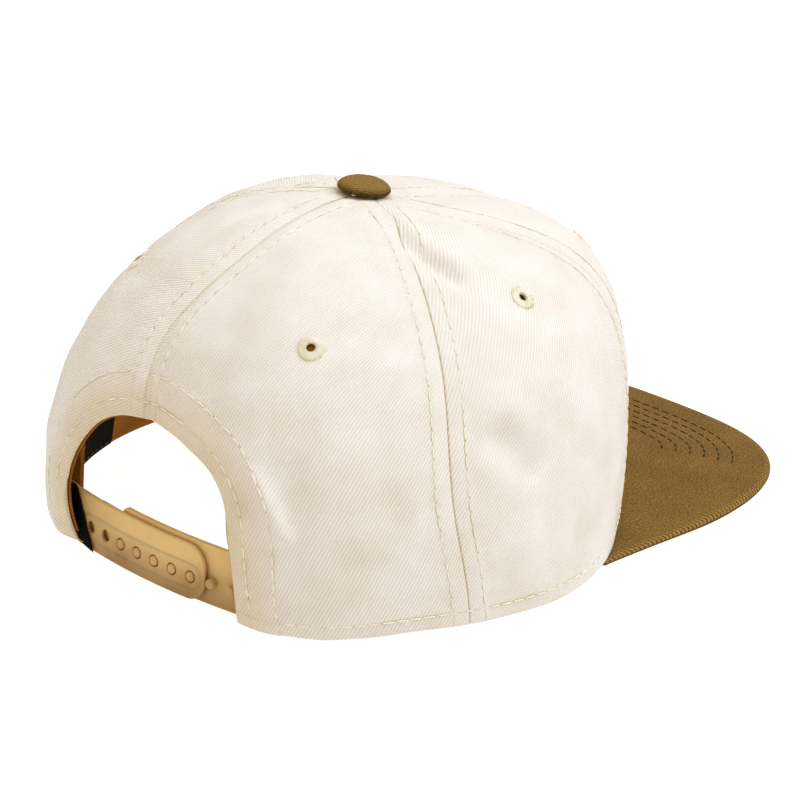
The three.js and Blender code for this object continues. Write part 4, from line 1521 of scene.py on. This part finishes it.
@dataclass
class Peak:
    """The flat peak: twill over a board, sewn in rows that follow its edge."""

    wardrobe: Wardrobe
    half_width: float = 84.8
    tip_y: float = -160.0
    corner_y: float = -31.2
    round_across: float = 0.56
    round_along: float = 0.613
    inset: float = 1.9
    thin_from: float = 72.0
    corner_share: float = 0.68
    turn_step: float = 15.0
    edge_high: tuple[float, ...] = (2.7, 2.7, 2.8, 3.1, 3.4, 4.0, 5.2)
    thick_at: tuple[tuple[float, float], ...] = ((0, 2.2), (0.12, 2.4), (0.4, 2.7), (1, 2.7))
    columns: int = 260
    rows: int = 110
    roll: float = 1.3
    first_row: float = 13.0
    row_pitch: float = 4.85
    sewn_rows: int = 6
    row_groove: float = 0.22
    edge_groove: float = 0.15
    groove_in: float = 3.6
    shaded_turn: float = 0.5
    far_drop: float = 1.2

    def outline(self, turn: np.ndarray) -> np.ndarray:
        """Gives points of the outline.

        Args:
            turn: 0 at the tip, and 90 degrees at a corner.

        Returns:
            Points of the upper face's edge.
        """
        s, c = np.sin(turn * RAD), np.maximum(np.cos(turn * RAD), 0)
        x = -self.half_width * np.sign(s) * np.abs(s) ** self.round_across
        y = self.corner_y + (self.tip_y - self.corner_y) * c**self.round_along
        z = along_rows(np.array(self.edge_high), np.abs(turn) / self.turn_step)
        return np.stack([x, y, z], axis=-1)

    def even_turns(self, share: np.ndarray) -> np.ndarray:
        """Gives the turns that lie evenly along the outline.

        Args:
            share: share of the way round it.

        Returns:
            Turns in degrees.
        """
        signed = np.linspace(-1, 1, 4001)
        turn = 90 * np.sign(signed) * np.abs(signed) ** 1.7
        run = run_along(self.outline(turn))
        return np.interp(share * run[-1], run, turn)

    def inner(self, outer: np.ndarray) -> np.ndarray:
        """Returns the inner edge's points, under the crown's lower edge, that face points of the outline."""
        inner = FORM.point(azimuth_of(outer), np.ones(len(outer)))
        flat = radius_of(inner)
        inner[:, :2] *= ((flat - self.inset) / flat)[:, None]
        inner[:, 2] -= 0.3
        return inner

    def build(self) -> None:
        """Builds the peak and its stitching."""
        sheet = Sheet(self.columns, self.rows, (0, 0.55))
        turn = self.even_turns(sheet.share)
        outer = self.outline(turn)
        points = self.inner(outer)
        points = points + (outer - points) * sheet.down[:, None]
        edge_line = self.outline(self.even_turns(np.linspace(0, 1, 4001)))
        edge = nearest(points[:, :2], edge_line[:, :2])
        thin = 1 - (1 - self.corner_share) * eased(np.abs(turn), self.thin_from, 90)
        thick = np.interp(sheet.down, *zip(*self.thick_at)) * thin
        thinner = self.far_side(points) * eased(sheet.down, 0.15, 0.6)
        roll = np.minimum(self.roll, (thick - thinner) / 2 - 0.02)
        drop = rolled_drop(edge, roll)
        rise = self.relief(edge)
        outward = unit((outer - self.inner(outer))[:, :2])
        flat = points[:, :2] + outward * np.where(sheet.inner, thick - drop, drop)[:, None]
        points[:, 2] += np.where(sheet.inner, -thick + drop, -drop + rise - thinner)
        piece = sheet.laid("peak_twill", points, flat)
        # Painted highlight along the rolled edge, full on the lit near half and a quarter of that on the far half.
        lit_near_side = 1 - 0.75 * eased(points[:, 0], -70, 10)
        write_attribute(piece, "edge", (1 - eased(edge, 1.0, 3.4)) * lit_near_side)
        # Painted shade on the peak's underside, which shows as a dark line below the rolled edge.
        write_attribute(piece, "under", sheet.inner.astype(float))
        self.wardrobe.dress(piece, BROWN, Slot.PEAK, "peak")
        self.stitches(edge_line)

    def far_side(self, points: np.ndarray) -> np.ndarray:
        """Returns how much thinner the peak is towards the front of its left half."""
        corner = 1 - eased(-points[:, 1], 55, 35)
        return self.far_drop * eased(points[:, 0], -5, 45) * np.clip(corner, 0.35, 1)

    def relief(self, edge: np.ndarray) -> np.ndarray:
        """Gives the quilting that the rows of stitches leave.

        Args:
            edge: distance in from the outline.

        Returns:
            How far the cloth stands up.
        """
        rise = -self.edge_groove * hump(edge, self.groove_in, 0.9)
        for row in range(self.sewn_rows):
            rise = rise - self.row_groove * hump(edge, self.first_row + row * self.row_pitch, 0.8)
        return rise

    def stitches(self, edge_line: np.ndarray) -> None:
        """Sews the rows that follow the edge.

        Args:
            edge_line: the outline.
        """
        shaded, lit = bmesh.new(), bmesh.new()
        threads = (Stitching(length=3.3, pitch=4.4, thick=0.55), Stitching(length=2.6, pitch=4.4, thick=0.32))
        along = unit(np.gradient(edge_line[:, :2], axis=0))
        inward = np.stack([along[:, 1], -along[:, 0]], axis=-1)
        if inward[len(inward) // 2, 1] < 0:
            inward = -inward
        inner = self.inner(edge_line)
        gap = radius_of(edge_line - inner)
        for row in range(self.sewn_rows):
            distance = self.first_row + row * self.row_pitch
            spots = edge_line[:, :2] + inward * distance
            clear = nearest(spots, edge_line[:, :2]) > distance - 0.4
            keep = clear & (radius_of(spots) > FORM.section("rim", azimuth_of(spots)) + 1.5)
            share = np.clip(distance / np.maximum(gap, 1), 0, 1)
            high = edge_line[:, 2] * (1 - share) + inner[:, 2] * share
            line = np.column_stack([spots, high - 0.12])
            line[:, 2] -= self.far_side(line)
            # Painted shade and light: stitches on the far half, and where the rows run across the front, take the
            # shaded copy; the rest take the lit copy.
            dark = (spots[:, 0] > 0) | (np.abs(along[:, 0]) > self.shaded_turn)
            for shape, half, thread in zip((shaded, lit), (dark, ~dark), threads):
                part = line[keep & half]
                if len(part) > 40:
                    thread.sew(shape, part, np.tile((0.0, 0.0, 1.0), (len(part), 1)))
        self.wardrobe.dress(to_piece(shaded, "stitches_peak_shaded"), SHADED_PEAK_THREAD, Slot.PEAK)
        self.wardrobe.dress(to_piece(lit, "stitches_peak_lit"), LIT_PEAK_THREAD, Slot.PEAK)


# The inside, and the opening's binding.


@dataclass
class Lining:
    """Sweatband, label and the opening's binding tape."""

    wardrobe: Wardrobe
    low: float = 0.9
    high: float = 31.0
    right_end: float = 154.0
    left_end: float = 211.0
    inset: float = 2.3
    strap_inset: float = 4.9
    swell: float = 0.6
    near: float = 32.0
    far: float = 41.0
    flat_radius: float = 90.0
    thick: float = 1.2
    label_from: float = 222.0
    label_slant: float = 10.6
    label_lean: float = 3.6
    label_row: float = 1.3
    label_to: float = 254.0
    label_low: float = 1.5
    label_high: float = 30.0
    label_thick: float = 0.5
    label_clear: float = 0.35
    label_roll: float = 0.24
    tape_wide: float = 7.0
    tape_showing: float = 0.15
    tape_lowest: float = 7.0
    tape_narrow: float = 3.2
    tape_thick: float = 0.8
    tape_clear: float = 0.2
    tape_roll: float = 0.38
    cloth_thick: float = 1.6
    cloth_thinner: float = 0.55
    wall_depth: float = 2.1

    def build(self) -> None:
        """Builds the three pieces."""
        self.band()
        self.label()
        self.tape()

    def band_point(self, azimuth: np.ndarray, up: np.ndarray, depth: np.ndarray) -> np.ndarray:
        """Gives points of the sweatband.

        Args:
            azimuth: azimuths in degrees.
            up: height above the rim.
            depth: depth in from the band's outer face.

        Returns:
            Points, one per row.
        """
        near = 1 - eased(np.abs(np.mod(azimuth, 360) - 180), self.near, self.far)
        lift = FORM.rim_lift(azimuth)
        rim = FORM.section("rim", azimuth)
        wall = FORM.cloth(azimuth, FORM.fall_at_height(azimuth, lift + up), self.wall_depth)
        reach = radius_of(wall)
        wanted = rim + np.maximum(reach - rim, 0) * self.swell * (1 - near) - self.inset - near * self.strap_inset
        radius = np.minimum(wanted, reach) - depth
        return round_axis(azimuth, radius, lift + up)

    def band(self) -> None:
        """Builds the sweatband."""
        sheet = Sheet(300, 20, (0, 0.5))
        start = self.left_end - 360
        azimuth = start + (self.right_end - start) * sheet.share
        up = self.high + (self.low - self.high) * sheet.down
        edge = np.minimum(up - self.low, self.high - up)
        roll = rolled_drop(edge, 0.5)
        fold = 0.25 * (1 - eased(self.high - up, 3.5, 5))
        depth = np.where(sheet.inner, self.thick - roll + fold * 0.6, roll)
        points = self.band_point(azimuth, up, depth)
        flat = np.stack([azimuth * RAD * self.flat_radius, up], axis=-1)
        piece = sheet.laid("band_cloth", points, flat)
        self.wardrobe.dress(piece, TAN, Slot.BAND, "sweatband")

    def label(self) -> None:
        """Builds the bare label and the row of stitches along its foot."""
        sheet = Sheet(60, 24, (0.4, 0.4))
        start = self.label_from - self.label_slant * (1 - sheet.down)
        end = self.label_to + self.label_lean * (1 - sheet.down)
        azimuth = start + (end - start) * sheet.share
        up = self.label_high + (self.label_low - self.label_high) * sheet.down
        edge = np.minimum(up - self.label_low, self.label_high - up)
        depth = self.thick + self.label_clear + sheet.depth(edge, self.label_roll, self.label_thick)
        flat = np.stack([azimuth * RAD * self.flat_radius, up], axis=-1)
        piece = sheet.laid("label_cloth", self.band_point(azimuth, up, depth), flat)
        self.wardrobe.dress(piece, BLACK, Slot.LABEL, "inner_label")
        row = np.linspace(self.label_from + 1, self.label_to - 1, 300)
        face = self.thick + self.label_clear + self.label_thick
        line = self.band_point(row, np.full(300, self.label_low + self.label_row), np.full(300, face))
        inward = -unit(line * (1, 1, 0))
        shape = bmesh.new()
        Stitching(length=2.0, pitch=3.2, thick=0.4).sew(shape, line, inward)
        self.wardrobe.dress(to_piece(shape, "stitches_label"), GREY_THREAD, Slot.LABEL)

    def tape(self) -> None:
        """Builds the binding tape round the opening."""
        sheet = Sheet(200, 14, (0, 0.5))
        azimuth, fall = FORM.opening_line(401)
        up = FORM.point(azimuth, fall)[:, 2]
        high = np.flatnonzero(up > self.tape_lowest)
        azimuth, fall = azimuth[high[0] : high[-1] + 1], fall[high[0] : high[-1] + 1]
        way = FORM.away_from_opening(azimuth, fall)
        place = sheet.share * (len(azimuth) - 1)
        read = lambda row: np.interp(place, np.arange(len(row)), row)
        start_azimuth, start_fall = read(azimuth), read(fall)
        ways = unit(np.stack([read(way[:, k]) for k in range(3)], axis=-1))
        wide = self.tape_narrow + (self.tape_wide - self.tape_narrow) * eased(read(up[high]), 22, 30)
        across = wide - (wide + self.tape_showing) * sheet.down
        spot_azimuth, spot_fall = FORM.beside(start_azimuth, start_fall, ways, across, 2)
        edge = np.minimum(across + self.tape_showing, wide - across)
        behind = self.cloth_thick - self.cloth_thinner * (1 - eased(np.abs(across), 1, 6))
        depth = behind + self.tape_clear + sheet.depth(edge, self.tape_roll, self.tape_thick)
        points = FORM.cloth(spot_azimuth, spot_fall, depth)
        flat = np.stack([place / len(azimuth) * 150, across], axis=-1)
        piece = sheet.laid("tape_cloth", points, flat)
        self.wardrobe.dress(piece, TAN, Slot.BAND, "opening_tape")


# The snap strap and its tab.


@dataclass
class Strap:
    """Snap strap in two halves: holes outside on the left, pegs inside on the right."""

    wardrobe: Wardrobe
    middle_y: float = 85.0
    bend: float = 409.0
    low: float = 1.2
    high: float = 19.5
    root: float = 46.0
    end: float = 20.8
    pegged_end: float = 35.5
    pegged_high: float = 20.7
    shoulder: tuple[float, float, float] = (15.6, 18.6, 2.6)
    tuck: float = 1.8
    corner: float = 7.0
    edge_round: float = 0.58
    thick: float = 1.5
    pitch: float = 7.75
    row_up: float = 8.8
    hole: float = 1.9
    first_hole: float = 31.5
    count: int = 7
    border_from_row: float = 4.2
    border_wide: float = 0.9
    border_high: float = 0.04
    border_thick: float = 0.6
    strip: float = 4.0
    peg: float = 1.6
    peg_long: float = 2.0
    tab_outer: float = 44.0
    tab_high_inner: float = 39.0
    tab_low_inner: float = 28.5
    tab_low: float = 1.2
    tab_high: float = 20.6
    tab_foot_rise: float = 2.2
    tab_thick: float = 0.5
    tab_clear: float = 0.35
    tab_roll: float = 0.24

    def build(self) -> None:
        """Builds the two halves and the tab."""
        self.left_half()
        self.right_half()
        self.tab()

    def bent(self, tuck: float) -> Callable[[np.ndarray], np.ndarray]:
        """Gives the bend that turns a flat plate into the strap.

        Args:
            tuck: depth of the plate's outer face.

        Returns:
            The bend, from flat places (along, up, out) to points.
        """

        def lay(flat: np.ndarray) -> np.ndarray:
            """Returns the bent points of flat places."""
            x, up, out = flat.T
            inward = unit(np.stack([-2 * x / self.bend, -np.ones(len(x)), np.zeros(len(x))], axis=-1))
            face = np.stack([x, self.middle_y - x * x / self.bend, up], axis=-1)
            return face + inward * (tuck - out)[:, None]

        return lay

    def rounded_plate(self, shape: bmesh.types.BMesh, box: Box, radii: tuple[float, float]) -> None:
        """Draws the outline of a plate with rounded corners.

        Args:
            shape: takes the outline.
            box: lowest and highest x, then lowest and highest height.
            radii: corner radius at the low and at the high x.
        """
        left, right, low, high = box
        before = set(shape.edges)
        made = bmesh.ops.create_grid(shape, x_segments=1, y_segments=1, size=1.0)["verts"]
        for vert in made:
            vert.co = ((left if vert.co.x < 0 else right), (low if vert.co.y < 0 else high), 0)
        faces = {face for vert in made for face in vert.link_faces}
        bmesh.ops.delete(shape, geom=list(faces), context="FACES_ONLY")
        for x, radius in ((left, radii[0]), (right, radii[1])):
            if radius > 0:
                ends = [v for v in shape.verts if v in set(made) and abs(v.co.x - x) < 0.001]
                bmesh.ops.bevel(
                    shape, geom=ends, offset=radius, segments=9, profile=0.5, affect="VERTICES", material=-1
                )
                made = [v for e in shape.edges if e not in before for v in e.verts]

    def plate(self, box: Box, radii: tuple[float, float], holes: Sequence[float]) -> bmesh.types.BMesh:
        """Makes a flat plate with holes and eased edges.

        Args:
            box: lowest and highest x, then lowest and highest height.
            radii: corner radius at the low and at the high x.
            holes: x of each hole.

        Returns:
            The plate, with its outer face at height 0.
        """
        shape = bmesh.new()
        self.rounded_plate(shape, box, radii)
        for x in holes:
            bmesh.ops.create_circle(
                shape, cap_ends=False, segments=24, radius=self.hole, matrix=Matrix.Translation((x, self.row_up, 0))
            )
        thicken(shape, self.thick)
        bmesh.ops.bevel(
            shape,
            geom=corner_edges(shape),
            offset=self.edge_round,
            segments=4,
            profile=0.5,
            affect="EDGES",
            material=-1,
            clamp_overlap=True,
        )
        self.cut_across(shape, np.arange(box[0] + 3, box[1] - 1, self.strip))
        return shape

    def cut_across(self, shape: bmesh.types.BMesh, cuts: Sequence[float]) -> None:
        """Cuts a plate into strips that can bend.

        Args:
            shape: the plate.
            cuts: x of each cut.
        """
        for x in cuts:
            parts = shape.verts[:] + shape.edges[:] + shape.faces[:]
            bmesh.ops.bisect_plane(shape, geom=parts, plane_co=(x, 0, 0), plane_no=(1, 0, 0))

    def border(self, shape: bmesh.types.BMesh, box: Box) -> None:
        """Adds the low raised border round the row of holes.

        Args:
            shape: takes the border.
            box: lowest and highest x, then lowest and highest height of its middle line.
        """
        ring = bmesh.new()
        for grow in (self.border_wide / 2, -self.border_wide / 2):
            edges = (box[0] - grow, box[1] + grow, box[2] - grow, box[3] + grow)
            radius = (edges[3] - edges[2]) / 2 - 0.01
            self.rounded_plate(ring, edges, (radius, radius))
        thicken(ring, self.border_thick)
        bmesh.ops.translate(ring, verts=ring.verts[:], vec=(0, 0, self.border_high))
        top = [edge for edge in corner_edges(ring) if edge.verts[0].co.z > 0]
        bmesh.ops.bevel(ring, geom=top, offset=0.055, segments=3, profile=0.5, affect="EDGES", material=-1)
        self.cut_across(ring, np.arange(box[0] + 3, box[1] - 1, self.strip))
        mesh = bpy.data.meshes.new("border")
        ring.to_mesh(mesh)
        ring.free()
        shape.from_mesh(mesh)
        bpy.data.meshes.remove(mesh)

    def finished(self, shape: bmesh.types.BMesh, name: str, tuck: float, node: str) -> None:
        """Bends a half of the strap and dresses it.

        Args:
            shape: the flat half.
            name: name of the piece.
            tuck: depth of its outer face.
            node: node that it stands for.
        """
        points = self.bent(tuck)(np.array([v.co[:] for v in shape.verts]))
        for vert, point in zip(shape.verts, points):
            vert.co = point
        bmesh.ops.recalc_face_normals(shape, faces=shape.faces[:])
        piece = to_piece(shape, name, sharp=28)
        self.wardrobe.dress(piece, PLASTIC, Slot.STRAP, node)

    def left_half(self) -> None:
        """Builds the holed half."""
        holes = [self.first_hole - index * self.pitch for index in range(self.count)]
        shape = self.plate((-self.end, self.root, self.low, self.high), (self.corner, 0), holes)
        away = self.border_from_row
        self.border(shape, (holes[-1] - away, holes[0] + away, self.row_up - away, self.row_up + away))
        self.finished(shape, "strap_holed", 0.0, "strap_left")

    def right_half(self) -> None:
        """Builds the pegged half."""
        box = (-self.root, self.pegged_end, self.low, self.pegged_high)
        shape = self.plate(box, (0, self.corner), [])
        start, end, drop = self.shoulder
        self.cut_across(shape, np.linspace(start, end, 7))
        for vert in shape.verts:
            if vert.co.y > self.row_up:
                vert.co.y -= drop * float(eased(vert.co.x, start, end))
        pegs = [self.first_hole - (index + 2) * self.pitch for index in range(self.count)]
        long = self.peg_long + 0.7
        for x in pegs:
            before = set(shape.edges)
            place = Matrix.Translation((x, self.row_up, self.peg_long - long / 2))
            round_peg = {"segments": 24, "radius1": self.peg, "radius2": self.peg, "depth": long}
            bmesh.ops.create_cone(shape, cap_ends=True, cap_tris=False, matrix=place, **round_peg)
            head = [e for e in shape.edges if e not in before and all(v.co.z > self.peg_long - 0.01 for v in e.verts)]
            bmesh.ops.bevel(shape, geom=head, offset=0.55, segments=4, profile=0.5, affect="EDGES", material=-1)
        self.finished(shape, "strap_pegged", self.tuck, "strap_right")

    def tab(self) -> None:
        """Builds the bare tab at the strap's left root."""
        sheet = Sheet(24, 30, (0.4, 0.4))
        inner = self.tab_high_inner + (self.tab_low_inner - self.tab_high_inner) * sheet.down
        x = inner + (self.tab_outer - inner) * sheet.share
        low = self.tab_low + self.tab_foot_rise * sheet.share
        up = self.tab_high + (low - self.tab_high) * sheet.down
        edge = np.minimum(np.minimum(x - inner, self.tab_outer - x), np.minimum(up - low, self.tab_high - up))
        out = self.tab_clear + self.tab_thick - sheet.depth(edge, self.tab_roll, self.tab_thick)
        points = self.bent(0.0)(np.stack([x, up, out], axis=-1))
        piece = sheet.laid("tab_cloth", points, np.stack([x, up], axis=-1))
        self.wardrobe.dress(piece, BLACK, Slot.LABEL, "side_tab")


# The studio.


@dataclass(frozen=True)
class Lamp:
    """Soft light: its place and width in metres, and its power in watts."""

    name: str
    spot: tuple[float, float, float]
    size: float
    power: float


LAMPS = (
    Lamp("key", (-1.0, -0.45, 1.3), 0.7, 13.0),
    Lamp("overhead", (-0.2, -0.05, 1.8), 1.2, 12.5),
    Lamp("fill", (0.6, 0.9, 1.4), 1.4, 7.5),
)


@dataclass
class Studio:
    """Floor, lights and camera."""

    azimuth: float = 221.476
    elevation: float = 21.811
    roll: float = 3.767
    distance: float = 1189.1
    lens: float = 163.26
    aim_side: float = 4.541
    aim_up: float = 31.532
    aim_y: float = -20.0
    aim_z: float = 1.7
    sky_colour: Colour = (1.0, 0.985, 0.96)
    sky_strength: float = 0.42
    floor_reach: float = 6.0
    tones: tuple[tuple[tuple[float, float], ...], ...] = (
        ((0.05, 0.046), (0.25, 0.245), (0.6, 0.605)),
        ((0.05, 0.044), (0.25, 0.228), (0.45, 0.415), (0.62, 0.592), (0.76, 0.75)),
        ((0.05, 0.034), (0.25, 0.175), (0.45, 0.345), (0.62, 0.56), (0.76, 0.745)),
    )

    def build(self) -> None:
        """Sets up the studio."""
        scene = bpy.context.scene
        scene.view_settings.view_transform = "Standard"
        self.floor()
        self.camera()
        world = bpy.data.worlds.new("studio")
        world.use_nodes = True
        sky = world.node_tree.nodes["Background"].inputs
        sky[0].default_value, sky[1].default_value = opaque(self.sky_colour), self.sky_strength
        scene.world = world
        for lamp in LAMPS:
            self.light(lamp)
        self.tone()

    def tone(self) -> None:
        """Makes the shades deeper and warmer, as in the photograph."""
        view = bpy.context.scene.view_settings
        view.use_curve_mapping = True
        mapping = view.curve_mapping
        for channel, bends in enumerate(self.tones):
            for place, value in bends:
                mapping.curves[channel].points.new(place, value)
        mapping.update()

    def floor(self) -> None:
        """Lays the floor."""
        shape = bmesh.new()
        bmesh.ops.create_grid(shape, x_segments=4, y_segments=4, size=self.floor_reach)
        mesh = bpy.data.meshes.new("floor")
        shape.to_mesh(mesh)
        shape.free()
        piece = bpy.data.objects.new("floor", mesh)
        bpy.context.scene.collection.objects.link(piece)
        mesh.materials.append(FLOOR.material())

    def camera(self) -> None:
        """Places the camera at the photograph's angle."""
        a, e, ro = (value * RAD for value in (self.azimuth, self.elevation, self.roll))
        back = Vector((math.sin(a) * math.cos(e), -math.cos(a) * math.cos(e), math.sin(e)))
        level = Vector((math.cos(a), math.sin(a), 0))
        upright = back.cross(level)
        right = level * math.cos(ro) + upright * math.sin(ro)
        up = upright * math.cos(ro) - level * math.sin(ro)
        aim = Vector((0, self.aim_y, self.aim_z)) + right * self.aim_side + up * self.aim_up + Vector(SHIFT)
        spot = (aim + back * self.distance) * MM
        data = bpy.data.cameras.new("camera")
        data.lens = self.lens
        data.sensor_width = 36
        camera = bpy.data.objects.new("camera", data)
        axes = Matrix([right[:], up[:], back[:]]).transposed().to_4x4()
        camera.matrix_world = Matrix.Translation(spot) @ axes
        bpy.context.scene.collection.objects.link(camera)
        bpy.context.scene.camera = camera

    def light(self, lamp: Lamp) -> None:
        """Hangs a soft light that faces the cap.

        Args:
            lamp: the light.
        """
        data = bpy.data.lights.new(lamp.name, "AREA")
        data.size, data.energy = lamp.size, lamp.power
        hung = bpy.data.objects.new(lamp.name, data)
        hung.location = lamp.spot
        hung.rotation_euler = (Vector((0, 0, 0.05)) - Vector(lamp.spot)).to_track_quat("-Z", "Y").to_euler()
        bpy.context.scene.collection.objects.link(hung)


def main() -> None:
    """Builds the cap and the studio."""
    logging.basicConfig(level=logging.INFO, format="%(name)s: %(message)s")
    wardrobe = Wardrobe()
    for part in (Crown, Eyelets, Button, Peak, Lining, Strap):
        part(wardrobe).build()
    Studio().build()


if __name__ == "__main__":
    main()
